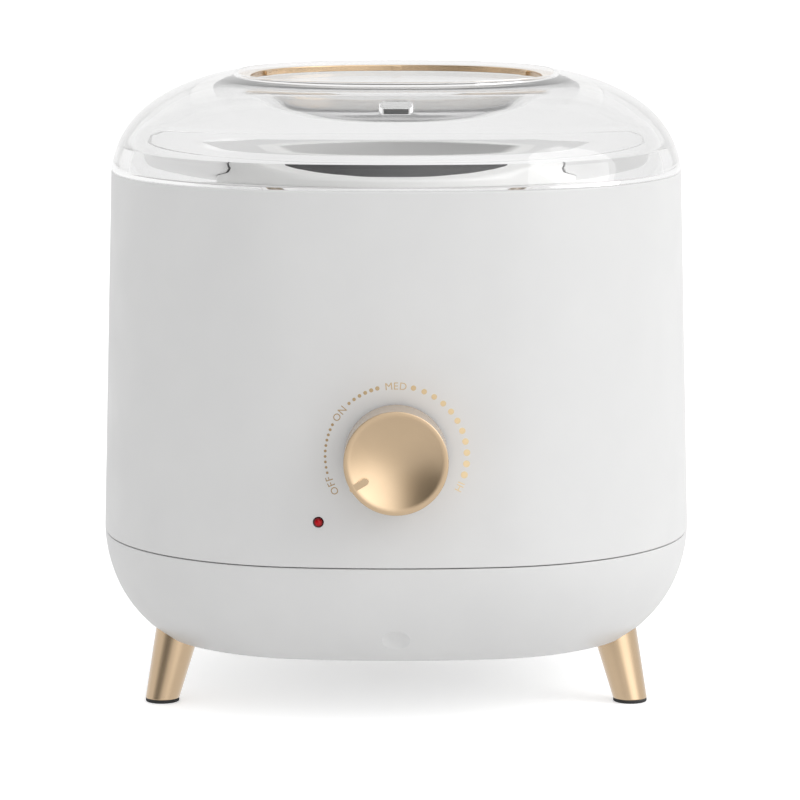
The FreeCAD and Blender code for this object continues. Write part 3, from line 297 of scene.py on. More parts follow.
finishSpec = {
    # colour, second colour, metallic, low and high roughness, grain scale, grain depth in mm;
    # above, within and below say in mm where the pot's dark coating ends
    "whiteShell": dict(colour=(0.790, 0.790, 0.787), second=(0.775, 0.775, 0.773), metallic=0.0,
                       rough=(0.34, 0.42), grain=2600, depth=0.012, dust=0.10, rub=0.0),
    "goldSatin": dict(colour=(0.560, 0.410, 0.257), second=(0.532, 0.388, 0.240), metallic=1.0,
                      rough=(0.18, 0.24), grain=5200, depth=0.006, dust=0.04, rub=0.35, coat=1.0),
    "goldTurned": dict(colour=(0.560, 0.410, 0.257), second=(0.532, 0.388, 0.240), metallic=1.0,
                       rough=(0.36, 0.42), grain=5200, depth=0.006, dust=0.04, rub=0.20, coat=1.0),
    "blackRubber": dict(colour=(0.022, 0.022, 0.023), second=(0.035, 0.035, 0.035), metallic=0.0,
                        rough=(0.72, 0.86), grain=1800, depth=0.03, dust=0.35, rub=0.25),
    "darkPlastic": dict(colour=(0.030, 0.030, 0.032), second=(0.042, 0.042, 0.044), metallic=0.0,
                        rough=(0.42, 0.55), grain=2200, depth=0.02, dust=0.15, rub=0.25),
    "potCoating": dict(colour=(0.085, 0.085, 0.087), second=(0.110, 0.110, 0.113), metallic=0.0,
                       rough=(0.30, 0.44), grain=1500, depth=0.02, dust=0.10, rub=0.0,
                       above=157.5, within=50.6, below=85.5, bare=(0.95, 0.95, 0.94)),
    "spunAluminium": dict(colour=(0.62, 0.62, 0.63), second=(0.54, 0.54, 0.56), metallic=1.0,
                          rough=(0.30, 0.44), grain=900, depth=0.01, dust=0.10, rub=0.20),
    "blastedAluminium": dict(colour=(0.84, 0.84, 0.85), second=(0.78, 0.78, 0.79), metallic=0.30,
                             rough=(0.50, 0.62), grain=1500, depth=0.012, dust=0.10, rub=0.0),
    "zincSteel": dict(colour=(0.50, 0.51, 0.53), second=(0.42, 0.42, 0.43), metallic=1.0,
                      rough=(0.28, 0.42), grain=1200, depth=0.008, dust=0.10, rub=0.30),
    "boardGreen": dict(colour=(0.040, 0.140, 0.070), second=(0.055, 0.170, 0.085), metallic=0.0,
                       rough=(0.32, 0.45), grain=900, depth=0.01, dust=0.15, rub=0.0),
    "fibreSleeve": dict(colour=(0.66, 0.64, 0.58), second=(0.52, 0.50, 0.45), metallic=0.0,
                        rough=(0.88, 0.96), grain=700, depth=0.25, dust=0.20, rub=0.0),
    "micaHeater": dict(colour=(0.30, 0.20, 0.11), second=(0.42, 0.30, 0.18), metallic=0.0,
                       rough=(0.35, 0.60), grain=350, depth=0.03, dust=0.10, rub=0.0),
    "siliconeWire": dict(colour=(0.42, 0.045, 0.035), second=(0.50, 0.060, 0.045), metallic=0.0,
                         rough=(0.45, 0.58), grain=1200, depth=0.01, dust=0.10, rub=0.0),
}
wearSpec = {
    "rubbedGain": 1.25, "rubbedLift": 0.03, "rubbedSmooth": -0.08,
    "dustColour": (0.62, 0.60, 0.57, 1), "dustRough": 0.3,
    "coatRough": 0.18, "bump": 0.6, "maskBlur": 0.15, "edgeBlur": 0.2,
}


def surface(name, stretch=(1, 1, 1)):
    # a Principled material with grain, colour drift, edge rub and dust from its row in finishSpec
    spec = finishSpec[name]
    material, tree, shader = newMaterial(name)
    grain = addGroup(tree, fineGrain, {"Scale": spec["grain"], "Stretch": stretch})
    mottle = grain.outputs["Mottle"]
    colour = mixColour(tree, mottle, (*spec["colour"], 1), (*spec["second"], 1))
    rough = ramp(tree, mottle, 0, 1, *spec["rough"])
    if spec["rub"]:
        rub = addGroup(tree, edgeRub).outputs["Mask"]
        rub = maths(tree, "MULTIPLY", rub, spec["rub"])
        lighter = tuple(min(1.0, value * wearSpec["rubbedGain"] + wearSpec["rubbedLift"])
                        for value in spec["colour"])
        colour = mixColour(tree, rub, colour, (*lighter, 1))
        rough = maths(tree, "ADD", rough, maths(tree, "MULTIPLY", rub, wearSpec["rubbedSmooth"]))
    if "above" in spec:
        # only the inside below a masked line has the dark coating, the rest is pale enamel
        height = node(tree, "ShaderNodeSeparateXYZ", {0: objectPlace(tree)}).outputs["Z"]
        reach = reachFrom(tree, (0, axisY * mm, 0), (1, 1, 0))
        blur = wearSpec["maskBlur"]
        bare = ramp(tree, height, (spec["above"] - blur) * mm, (spec["above"] + blur) * mm)
        blur = wearSpec["edgeBlur"]
        for place, start, end in ((reach, spec["within"], spec["within"] + blur),
                                  (height, spec["below"], spec["below"] - blur)):
            bare = maths(tree, "MAXIMUM", bare, ramp(tree, place, start * mm, end * mm))
        colour = mixColour(tree, bare, colour, (*spec["bare"], 1))
    dust = addGroup(tree, dustFall, {"Amount": spec["dust"]}).outputs["Mask"]
    colour = mixColour(tree, dust, colour, wearSpec["dustColour"])
    rough = maths(tree, "ADD", rough, maths(tree, "MULTIPLY", dust, wearSpec["dustRough"]))
    tree.links.new(colour, shader.inputs["Base Color"])
    tree.links.new(rough, shader.inputs["Roughness"])
    shader.inputs["Metallic"].default_value = spec["metallic"]
    shader.inputs["Coat Weight"].default_value = spec.get("coat", 0.0)
    shader.inputs["Coat Roughness"].default_value = wearSpec["coatRough"]
    bump = node(tree, "ShaderNodeBump", {"Height": grain.outputs["Height"], "Strength": wearSpec["bump"],
                                         "Distance": spec["depth"] * mm})
    tree.links.new(bump.outputs[0], shader.inputs["Normal"])
    return material


glassSpec = {"colour": (0.925, 0.925, 0.925, 1), "ior": 1.47, "shadowTint": (0.985, 0.985, 0.985, 1),
             "turns": 1.5, "dustScale": 260.0, "dustRough": 0.02}


def clearPlastic():
    # clear moulded lid; light that only casts its shadow passes nearly unhindered
    material, tree, shader = newMaterial("clearLid")
    shader.inputs["Base Color"].default_value = glassSpec["colour"]
    shader.inputs["IOR"].default_value = glassSpec["ior"]
    shader.inputs["Transmission Weight"].default_value = 1.0
    dust = addGroup(tree, dustFall, {"Amount": 1.0, "Scale": glassSpec["dustScale"]}).outputs["Mask"]
    tree.links.new(ramp(tree, dust, 0, 1, 0, glassSpec["dustRough"]), shader.inputs["Roughness"])
    see = node(tree, "ShaderNodeBsdfTransparent", {"Color": glassSpec["shadowTint"]})
    # light caught inside the wall leaves it after a few turns, so that edges stay clear
    path = node(tree, "ShaderNodeLightPath")
    through = maths(tree, "MAXIMUM", path.outputs["Is Shadow Ray"], path.outputs["Is Diffuse Ray"])
    caught = maths(tree, "GREATER_THAN", path.outputs["Glossy Depth"], glassSpec["turns"])
    through = maths(tree, "MAXIMUM", through, caught)
    both = node(tree, "ShaderNodeMixShader", {0: through, 1: shader.outputs[0], 2: see.outputs[0]})
    tree.links.new(both.outputs[0], tree.nodes["Material Output"].inputs["Surface"])
    return material


# the near-black colour at the lens's rim is painted shade of the gap round the lens
lensSpec = {
    "side": -22.5, "height": 63.4, "middle": 0.6, "edge": 1.46, "grain": 3000.0, "rough": (0.10, 0.18),
    "colour": (0.55, 0.004, 0.010, 1), "rimShadeColour": (0.020, 0.0, 0.001, 1), "specular": 0.2,
}


def redLensMaterial():
    # moulded red lens with painted shade: the red deepens to near black towards its rim, where the gap round
    # the lens lies in shadow
    spec = lensSpec
    material, tree, shader = newMaterial("redLens")
    reach = reachFrom(tree, (spec["side"] * mm, 0, spec["height"] * mm), (1, 0, 1))
    # painted shade: red in the middle, near black at the rim
    edge = ramp(tree, reach, spec["middle"] * mm, spec["edge"] * mm)
    tree.links.new(mixColour(tree, edge, spec["colour"], spec["rimShadeColour"]), shader.inputs["Base Color"])
    grain = addGroup(tree, fineGrain, {"Scale": spec["grain"]})
    tree.links.new(ramp(tree, grain.outputs["Mottle"], 0, 1, *spec["rough"]), shader.inputs["Roughness"])
    shader.inputs["Specular IOR Level"].default_value = spec["specular"]
    return material


# the foil's left and right colours are a painted reflection: darker at the left, paler at the right
foilSpec = {
    "reach": 21.0, "left": (0.40, 0.262, 0.125, 1), "right": (0.80, 0.63, 0.38, 1), "grain": 6000.0,
    "glint": (0.86, 0.72, 0.48, 1), "glintHeights": (0.4, 1.2), "glintMost": 0.25,
    "rough": (0.38, 0.50), "metallic": 0.35,
}


def foilMaterial():
    # hot-stamped foil with painted light: brown gold at the left of the scale and pale gold at the right, a
    # painted reflection of the room's dim left and bright right
    spec = foilSpec
    material, tree, shader = newMaterial("goldFoil")
    # painted reflection: the foil's colour runs from darker at the left to paler at the right
    side = node(tree, "ShaderNodeSeparateXYZ", {0: objectPlace(tree)}).outputs["X"]
    paintedLightShare = ramp(tree, side, -spec["reach"] * mm, spec["reach"] * mm)
    colour = mixColour(tree, paintedLightShare, spec["left"], spec["right"])
    grain = addGroup(tree, fineGrain, {"Scale": spec["grain"]})
    glint = ramp(tree, grain.outputs["Height"], *spec["glintHeights"], 0, spec["glintMost"])
    tree.links.new(mixColour(tree, glint, colour, spec["glint"]), shader.inputs["Base Color"])
    tree.links.new(ramp(tree, grain.outputs["Mottle"], 0, 1, *spec["rough"]), shader.inputs["Roughness"])
    shader.inputs["Metallic"].default_value = spec["metallic"]
    return material


whiteShell = surface("whiteShell")
goldSatin = surface("goldSatin")
goldTurned = surface("goldTurned")
blackRubber = surface("blackRubber")
darkPlastic = surface("darkPlastic")
potCoating = surface("potCoating")
spunAluminium = surface("spunAluminium", stretch=(1, 1, 0.15))
blastedAluminium = surface("blastedAluminium")
zincSteel = surface("zincSteel")
boardGreen = surface("boardGreen")
fibreSleeve = surface("fibreSleeve", stretch=(1, 1, 0.4))
micaHeater = surface("micaHeater")
siliconeWire = surface("siliconeWire")
clearLid = clearPlastic()
redLens = redLensMaterial()
goldFoil = foilMaterial()
print("materials done")

# modelling helpers: millimetres about the housing's axis until a piece is finished

planSpec = {"side": 2.318, "corner": 0.2295, "topSide": 1.745, "topCorner": 0.1584}
hoopSegments = 192


def planReach(angle, half, blend=0.0, inset=0.0):
    # distance from the axis to a rounded square of four wide arcs and four corner arcs;
    # blend goes from the housing's plan to the rounder one of the lid's opening
    side = half * (planSpec["side"] + (planSpec["topSide"] - planSpec["side"]) * blend)
    corner = half * (planSpec["corner"] + (planSpec["topCorner"] - planSpec["corner"]) * blend)
    setback = side - half
    spread = atan2(corner, corner + setback)
    cornerRadius = side - hypot(corner, corner + setback) - inset
    side -= inset
    turn = abs((angle + pi / 4) % (pi / 2) - pi / 4)
    if turn < atan2(side * sin(spread), side * cos(spread) - setback):
        return sqrt(side ** 2 - (setback * sin(turn)) ** 2) - setback * cos(turn)
    along = corner * (cos(turn) + sin(turn))
    return along + sqrt(along ** 2 - 2 * corner ** 2 + cornerRadius ** 2)


def square(half, height, blend=0.0, inset=0.0, soft=0.0):
    return (lambda angle: planReach(angle, half, blend, inset)), height, soft


def disc(radius, height, soft=0.0):
    return (lambda angle: radius), height, soft


def nextHoop(form, edges):
    # a new hoop of vertices and edges grown from these edges
    grown = bmesh.ops.extrude_edge_only(form, edges=edges)["geom"]
    verts = [item for item in grown if isinstance(item, bmesh.types.BMVert)]
    fresh = set(verts)
    edges = [item for item in grown if isinstance(item, bmesh.types.BMEdge)
             and item.verts[0] in fresh and item.verts[1] in fresh]
    return verts, edges


def softened(form, items, offset, steps, **settings):
    # rounds the given edges or vertices
    bmesh.ops.bevel(form, geom=items, offset=offset, segments=steps, profile=0.5, material=-1, **settings)


def raised(hoops, closed=False, caps=False):
    # grows a wall hoop by hoop; a hoop's soft value rounds that edge
    form = bmesh.new()
    verts = bmesh.ops.create_circle(form, segments=hoopSegments, radius=1)["verts"]
    edges = form.edges[:]
    rings = []
    for index, (reach, height, soft) in enumerate(hoops):
        if index:
            verts, edges = nextHoop(form, edges)
        for vert in verts:
            angle = atan2(vert.co.y, vert.co.x)
            far = reach(angle)
            vert.co = (far * cos(angle), far * sin(angle), height)
        rings.append((edges, soft))
    if closed:
        bmesh.ops.bridge_loops(form, edges=rings[0][0] + rings[-1][0])
    if caps:
        bmesh.ops.contextual_create(form, geom=rings[0][0])
        bmesh.ops.contextual_create(form, geom=rings[-1][0])
    for edges, soft in rings:
        if soft:
            softened(form, edges, soft, 3, affect="EDGES")
    return form


def spun(points, steps, closed=False):
    # turns a profile of (radius, height, soft) about the upright axis
    form = bmesh.new()
    verts = [form.verts.new((point[0], 0, point[1])) for point in points]
    for first, second in zip(verts, verts[1:] + verts[:1]):
        if closed or second is not verts[0]:
            form.edges.new((first, second))
    for vert, point in zip(verts, points):
        if len(point) > 2 and point[2]:
            softened(form, [vert], point[2], 4, affect="VERTICES")
    bmesh.ops.spin(form, geom=form.verts[:] + form.edges[:], cent=(0, 0, 0), axis=(0, 0, 1),
                   angle=2 * pi, steps=steps, use_merge=True)
    bmesh.ops.remove_doubles(form, verts=form.verts, dist=1e-4)
    return form


def arc(across, up, radius, start, end, steps):
    # points along an arc of a profile, angles in degrees
    return [(across + radius * cos(radians(start + (end - start) * step / steps)),
             up + radius * sin(radians(start + (end - start) * step / steps)))
            for step in range(steps + 1)]


def smoothRows(rows, between=4):
    # a soft curve through (height, half) rows
    soft = []
    for index in range(len(rows) - 1):
        before = rows[max(index - 1, 0)]
        start, end = rows[index], rows[index + 1]
        after = rows[min(index + 2, len(rows) - 1)]
        for step in range(between):
            t = step / between
            soft.append(tuple(
                0.5 * (2 * b + (c - a) * t + (2 * a - 5 * b + 4 * c - d) * t ** 2
                       + (3 * b - a - 3 * c + d) * t ** 3)
                for a, b, c, d in zip(before, start, end, after)))
    return soft + [rows[-1]]


def box(width, depth, height, centre, soft=0.0):
    form = bmesh.new()
    bmesh.ops.create_cube(form, size=1)
    bmesh.ops.scale(form, vec=(width, depth, height), verts=form.verts)
    if soft:
        softened(form, form.edges[:], soft, 2, affect="EDGES")
    bmesh.ops.translate(form, vec=centre, verts=form.verts)
    return form


def rod(radius, length, centre, turn=None):
    # an upright round bar, then turned
    form = bmesh.new()
    bmesh.ops.create_cone(form, cap_ends=True, segments=48, radius1=radius, radius2=radius, depth=length)
    if turn:
        bmesh.ops.rotate(form, verts=form.verts, matrix=turn)
    bmesh.ops.translate(form, vec=centre, verts=form.verts)
    return form


def joined(*forms):
    # one bmesh from several, which are freed
    whole = bmesh.new()
    for form in forms:
        mesh = bpy.data.meshes.new("part")
        form.to_mesh(mesh)
        form.free()
        whole.from_mesh(mesh)
        bpy.data.meshes.remove(mesh)
    return whole


def looseObject(form, name):
    mesh = bpy.data.meshes.new(name)
    form.to_mesh(mesh)
    form.free()
    made = bpy.data.objects.new(name, mesh)
    scene.collection.objects.link(made)
    return made


def carved(form, tool, operation="DIFFERENCE"):
    # cuts the tool from the form, or does another boolean with the two
    for part in (form, tool):
        bmesh.ops.recalc_face_normals(part, faces=part.faces)
    base = looseObject(form, "base")
    other = looseObject(tool, "tool")
    cut = base.modifiers.new("cut", "BOOLEAN")
    cut.operation = operation
    cut.solver = "EXACT"
    cut.use_self = True
    cut.object = other
    cutMesh = bpy.data.meshes.new_from_object(base.evaluated_get(bpy.context.evaluated_depsgraph_get()))
    result = bmesh.new()
    result.from_mesh(cutMesh)
    for item in (base, other):
        mesh = item.data
        bpy.data.objects.remove(item)
        bpy.data.meshes.remove(mesh)
    bpy.data.meshes.remove(cutMesh)
    return result


forward = Matrix.Rotation(pi / 2, 3, "X")       # profile drawn with Z up now points to the front
backward = Matrix.Rotation(-pi / 2, 3, "X")


def finished(form, name, material, body, nodes, sharp=32, centre=(0, 0, 0), turn=None):
    # places the form, cleans it and makes it the piece that stands for the named CAD nodes
    if turn:
        bmesh.ops.rotate(form, verts=form.verts, matrix=turn)
    bmesh.ops.translate(form, vec=Vector(centre) + Vector((0, axisY, 0)), verts=form.verts)
    bmesh.ops.remove_doubles(form, verts=form.verts, dist=1e-4)
    bmesh.ops.dissolve_degenerate(form, edges=form.edges, dist=1e-5)
    bmesh.ops.recalc_face_normals(form, faces=form.faces)
    bmesh.ops.scale(form, vec=(mm, mm, mm), verts=form.verts)
    for face in form.faces:
        face.smooth = True
    for edge in form.edges:
        if edge.is_manifold:
            edge.smooth = edge.calc_face_angle(0) < radians(sharp)
    piece = looseObject(form, name)
    piece.data.materials.append(material)
    even = piece.modifiers.new("evenShading", "WEIGHTED_NORMAL")
    even.keep_sharp = True
    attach(piece, body)
    if nodes:
        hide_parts(*nodes)
    return piece


# housing

shellSpec = {
    "bodyHalf": 90.1, "neckHalf": 87.15, "seamLow": 50.0, "seamHigh": 159.3, "seamGap": 0.3,
    "wall": 2.5, "deckHalf": 82.3, "deckTop": 160.0, "deckThick": 3.2,
    "mouth": 55.45, "seat": 158.6, "throat": 53.75,
    "bowl": 36.9, "base": 19.0, "baseEdge": 0.5, "lapTop": 53.5, "lapWall": 1.1,
    "lampHole": 1.6, "shaftHole": 4.6, "glandHole": 6.1, "holeAt": 88.0, "holeDepth": 20.0,
    "knobHeight": 83.1, "glandHeight": 64.0, "lapGap": 0.05,
    "dimpleRadius": 6.6, "dimpleForward": 86.0, "dimpleHeight": 23.8,
    "ventPitch": 8.0, "ventWidth": 3.5, "ventLength": 36.0, "ventCount": 7, "ventDepth": 10.0,
    "postAt": 53.0, "postRadius": 4.5, "postLow": 54.0, "postTop": 158.0, "columnRadius": 5.5,
    "columnLow": 20.0, "columnTop": 53.7,
    "counterbore": 3.6, "shelf": 44.0, "bossAt": 73.6, "bossRadius": 10.5, "bossTop": 33.0,
}
postSpots = [(x, y) for x in (-shellSpec["postAt"], shellSpec["postAt"])
             for y in (-shellSpec["postAt"], shellSpec["postAt"])]
legSpec = {
    "angles": {"leg_front_left": 210, "leg_front_right": 330, "leg_rear": 90},
    "foot": 82.1, "slope": 0.27, "radius": 5.1, "taper": 0.08, "low": 1.0, "high": 30.0,
    "footEdge": 0.35, "socketGap": 0.12, "socketLow": 10.0,
}


def wallHalf(height):
    spec = shellSpec
    share = (height - spec["seamLow"]) / (spec["seamHigh"] - spec["seamLow"])
    return spec["bodyHalf"] + (spec["neckHalf"] - spec["bodyHalf"]) * share


def wallFront(across, height):
    # how far forward of the axis the front wall's outer face is
    half = wallHalf(height)
    side = half * planSpec["side"]
    return sqrt(side ** 2 - across ** 2) - (side - half)


def upperHousing():
    spec = shellSpec
    under = spec["deckTop"] - spec["deckThick"]
    form = raised([
        square(spec["bodyHalf"], spec["seamLow"], soft=0.3),
        square(spec["neckHalf"], spec["seamHigh"], soft=0.45),
        square(spec["deckHalf"], spec["seamHigh"], soft=0.2),
        square(spec["deckHalf"], spec["deckTop"], soft=0.25),
        disc(spec["mouth"], spec["deckTop"], soft=0.35),
        disc(spec["mouth"], spec["seat"]),
        disc(spec["throat"], spec["seat"], soft=0.2),
        disc(spec["throat"], under, soft=0.2),
        square(wallHalf(under) - spec["wall"], under),
        square(spec["bodyHalf"] - spec["wall"], spec["seamLow"], soft=0.3),
    ], closed=True)
    tall = spec["postTop"] - spec["postLow"]
    posts = [rod(spec["postRadius"], tall, (x, y, spec["postLow"] + tall / 2)) for x, y in postSpots]
    form = carved(form, joined(*posts), "UNION")
    tools = [rod(spec[hole], spec["holeDepth"], (x, spec["holeAt"] * way, height), forward)
             for hole, x, way, height in (("shaftHole", 0, -1, spec["knobHeight"]),
                                          ("lampHole", lensSpec["side"], -1, lensSpec["height"]),
                                          ("glandHole", 0, 1, spec["glandHeight"]))]
    form = carved(form, joined(*tools))
    finished(form, "upperHousing", whiteShell, "housing", ["upper_housing"])


def legCentre(height):
    return legSpec["foot"] - legSpec["slope"] * height


def legCone(low, high, extra):
    # a leg on +X: level circles whose centres lean inwards
    form = bmesh.new()
    verts = bmesh.ops.create_circle(form, segments=64, radius=1)["verts"]
    edges = form.edges[:]
    bottom = edges
    for index, height in enumerate((low, high)):
        if index:
            verts, edges = nextHoop(form, edges)
        radius = legSpec["radius"] + legSpec["taper"] * height + extra
        for vert in verts:
            angle = atan2(vert.co.y, vert.co.x - (legCentre(low) if index else 0))
            vert.co = (legCentre(height) + radius * cos(angle), radius * sin(angle), height)
    bmesh.ops.contextual_create(form, geom=bottom)
    bmesh.ops.contextual_create(form, geom=edges)
    return form, bottom


def aboutAxis(form, angle):
    bmesh.ops.rotate(form, verts=form.verts, matrix=Matrix.Rotation(radians(angle), 3, "Z"))
    return form


def bowlHoops(depth, foot=0.0, steps=20):
    # hoops down a bowl that lies this deep inside the outer one, from the seam to its flat floor
    half, roll = shellSpec["bodyHalf"] - depth, shellSpec["bowl"] - depth
    seam = shellSpec["seamLow"]
    end = asin((seam - shellSpec["base"] - foot) / roll)
    turns = [end * step / steps for step in range(steps + 1)]
    return [square(half, seam - roll * sin(turn), inset=roll * (1 - cos(turn))) for turn in turns]


def lowerShell():
    spec = shellSpec
    wall, half = spec["wall"], spec["bodyHalf"]
    lip = spec["seamLow"] - spec["seamGap"]
    inside = half - wall - spec["lapWall"]
    hoops = bowlHoops(wall + spec["lapWall"], wall)[::-1]
    rebate = half - wall - spec["lapGap"]
    hoops += [square(inside, spec["lapTop"], soft=0.2), square(rebate, spec["lapTop"], soft=0.2),
              square(rebate, lip), square(half, lip, soft=0.3)]
    hoops += bowlHoops(0)[1:]
    hoops[-1] = (*hoops[-1][:2], spec["baseEdge"])
    form = raised(hoops, caps=True)
    tall = spec["columnTop"] - spec["columnLow"]
    columns = [rod(spec["columnRadius"], tall, (x, y, spec["columnTop"] - tall / 2)) for x, y in postSpots]
    form = carved(form, joined(*columns), "UNION")
    # the bosses round the legs end inside the bowl's wall
    tall = spec["bossTop"] - spec["base"]
    bosses = [aboutAxis(rod(spec["bossRadius"], tall, (spec["bossAt"], 0, spec["bossTop"] - tall / 2)), angle)
              for angle in legSpec["angles"].values()]
    core = raised(bowlHoops(wall / 2, wall / 2), caps=True)
    form = carved(form, carved(joined(*bosses), core, "INTERSECT"), "UNION")
    low = legSpec["socketLow"]
    tall = spec["shelf"] - low
    tools = [rod(spec["counterbore"], tall, (x, y, low + tall / 2)) for x, y in postSpots]
    for angle in legSpec["angles"].values():
        tools.append(aboutAxis(legCone(low, legSpec["high"], legSpec["socketGap"])[0], angle))
    for index in range(spec["ventCount"]):
        x = spec["ventPitch"] * (index - spec["ventCount"] // 2)
        tools.append(box(spec["ventWidth"], spec["ventLength"], spec["ventDepth"], (x, 0, spec["base"])))
    dimple = bmesh.new()
    bmesh.ops.create_uvsphere(dimple, u_segments=64, v_segments=48, radius=spec["dimpleRadius"])
    bmesh.ops.translate(dimple, vec=(0, -spec["dimpleForward"], spec["dimpleHeight"]), verts=dimple.verts)
    tools.append(dimple)
    form = carved(form, joined(*tools))
    finished(form, "lowerShell", whiteShell, "housing", ["lower_shell"])


upperHousing()
lowerShell()
print("housing done")

# legs and their pads

padSpec = {"hollow": 0.3, "tread": 1.1, "treadSlope": 0.3, "plugRadius": 1.95, "plugLength": 3.8}


def legsAndPads():
    spec = padSpec
    for name, angle in legSpec["angles"].items():
        low, radius = legSpec["low"], legSpec["radius"]
        form, bottom = legCone(low, legSpec["high"], 0)
        softened(form, bottom, legSpec["footEdge"], 3, affect="EDGES")
        finished(aboutAxis(form, angle), name.replace("leg", "goldLeg"), goldSatin, "housing", [name])
        tread = radius - spec["tread"]
        plug, plugTop = spec["plugRadius"], low + spec["plugLength"]
        pad = spun([(0, spec["hollow"]), (tread - spec["treadSlope"], spec["hollow"], 0.1), (tread, 0, 0.15),
                    (radius, 0, 0.3), (radius, low, 0.2), (plug, low), (plug, plugTop, 0.3), (0, plugTop)],
                   steps=64)
        bmesh.ops.translate(pad, vec=(legCentre(low), 0, 0), verts=pad.verts)
        finished(aboutAxis(pad, angle), name.replace("leg", "footPad"), blackRubber, "housing",
                 [name.replace("leg", "leg_pad")])


legsAndPads()
print("legs done")

# lid

lidSpec = {
    "foot": 159.6, "rimFoot": 82.9, "rimHead": 80.1, "rimTop": 166.4, "lipHalf": 49.8, "lipTop": 188.0,
    "seatHalf": 48.5, "seat": 186.2, "collarOuter": 47.4, "collarInner": 45.3,
    "collarTop": 184.6, "slotWidth": 10.0, "slotDepth": 4.4, "slotForward": 67.5, "slotLow": 175.0,
    "slotTall": 14.0,
    "outer": [(159.6, 87.1), (164.0, 86.1), (169.0, 83.95), (174.0, 80.3), (178.0, 75.8),
              (181.5, 70.1), (184.2, 64.0), (186.2, 57.6), (187.2, 52.7), (187.6, 49.8)],
    "inner": [(166.4, 82.95), (172.6, 78.6), (176.35, 74.35), (179.65, 68.9), (182.2, 63.1),
              (184.05, 57.05), (185.0, 52.0), (185.3, 49.0)],
    "dishUnder": [(183.7, 47.4), (181.2, 42.9), (178.9, 38.1), (177.25, 33.0), (175.95, 27.5),
                  (175.0, 20.0), (174.5, 11.0)],
    "dishUpper": [(184.6, 44.9), (182.7, 41.2), (180.6, 36.6), (179.2, 32.0), (178.0, 26.4),
                  (177.1, 19.0), (176.6, 10.0)],
}


def stadium(width, depth, height, centre):
    # an upright bar with round ends
    form = bmesh.new()
    bmesh.ops.create_circle(form, segments=48, radius=depth / 2, cap_ends=True)
    straight = (width - depth) / 2
    for vert in form.verts:
        if abs(vert.co.x) > 1e-6:
            vert.co.x += straight if vert.co.x > 0 else -straight
    top = bmesh.ops.extrude_face_region(form, geom=form.faces[:])["geom"]
    verts = [item for item in top if isinstance(item, bmesh.types.BMVert)]
    bmesh.ops.translate(form, vec=(0, 0, height), verts=verts)
    bmesh.ops.translate(form, vec=centre, verts=form.verts)
    return form


def lidHoops(rows, start=1):
    # hoops through softened rows, whose plan blends from start to that of the lid's opening
    soft = smoothRows(rows)
    last = len(soft) - 1
    return [square(half, height, start + (1 - start) * index / last)
            for index, (height, half) in enumerate(soft)]


def lidDome():
    spec = lidSpec
    collar, seatHalf, lipTop = spec["collarInner"], spec["seatHalf"], spec["lipTop"]
    hoops = lidHoops(spec["dishUpper"])[::-1]
    hoops += [square(collar, spec["collarTop"], 1), square(collar, spec["seat"], 1, soft=0.1),
              square(seatHalf, spec["seat"], 1), square(seatHalf, lipTop, 1, soft=0.12),
              square(spec["lipHalf"], lipTop, 1, soft=0.18)]
    hoops += lidHoops(spec["outer"], 0)[::-1]
    hoops += [square(spec["rimFoot"], spec["foot"]), square(spec["rimHead"], spec["rimTop"])]
    hoops += lidHoops(spec["inner"], 0)
    hoops += [square(spec["collarOuter"], spec["inner"][-1][0], 1)]
    hoops += lidHoops(spec["dishUnder"])
    form = raised(hoops, caps=True)
    form = carved(form, stadium(spec["slotWidth"], spec["slotDepth"], spec["slotTall"],
                                (0, -spec["slotForward"], spec["slotLow"])))
    finished(form, "lidDome", clearLid, "lid", ["lid_dome"], sharp=28)


trimSpec = {"seat": 186.2, "half": 48.35, "inner": 45.2, "thick": 0.6, "skirt": 0.5, "skirtDepth": 1.9,
            "tabWidth": 3.0, "tabReach": 0.9, "tabRoot": 0.3, "tabDrop": 0.35, "tabLift": 0.02,
            "tabAngles": (30, 90, 150, 210, 270, 330)}


def trimRing():
    spec = trimSpec
    top = spec["seat"] + spec["thick"]
    low = top - spec["skirtDepth"]
    within = spec["inner"] - spec["skirt"]
    form = raised([square(spec["half"], spec["seat"], 1, soft=0.12), square(spec["half"], top, 1, soft=0.2),
                   square(within, top, 1, soft=0.25), square(within, low, 1, soft=0.12),
                   square(spec["inner"], low, 1, soft=0.12), square(spec["inner"], spec["seat"], 1)],
                  closed=True)
    tabs = []
    root, drop = spec["tabRoot"], spec["tabDrop"]
    for angle in spec["tabAngles"]:
        reach = planReach(radians(angle), within, 1)
        tab = box(spec["tabReach"] + root, spec["tabWidth"], spec["skirtDepth"] - drop,
                  (reach - (spec["tabReach"] - root) / 2, 0, (low + top - drop) / 2 + spec["tabLift"]), 0.12)
        tabs.append(aboutAxis(tab, angle))
    form = carved(form, joined(*tabs), "UNION")
    finished(form, "trimRing", goldSatin, "lid", ["lid_trim_ring"])


lidDome()
trimRing()
print("lid done")

# pot and heater well

potSpec = {"radius": 51.5, "wall": 1.5, "bottom": 84.6, "corner": 8.0, "rim": 55.5, "rimBase": 160.3,
           "rimTop": 161.5, "soft": 0.45, "lip": 0.25, "lipWall": 0.5}
wellSpec = {"radius": 53.6, "wall": 1.4, "bottom": 82.9, "corner": 8.6, "rim": 55.3, "rimBase": 158.6,
            "rimTop": 159.8, "soft": 0.2}


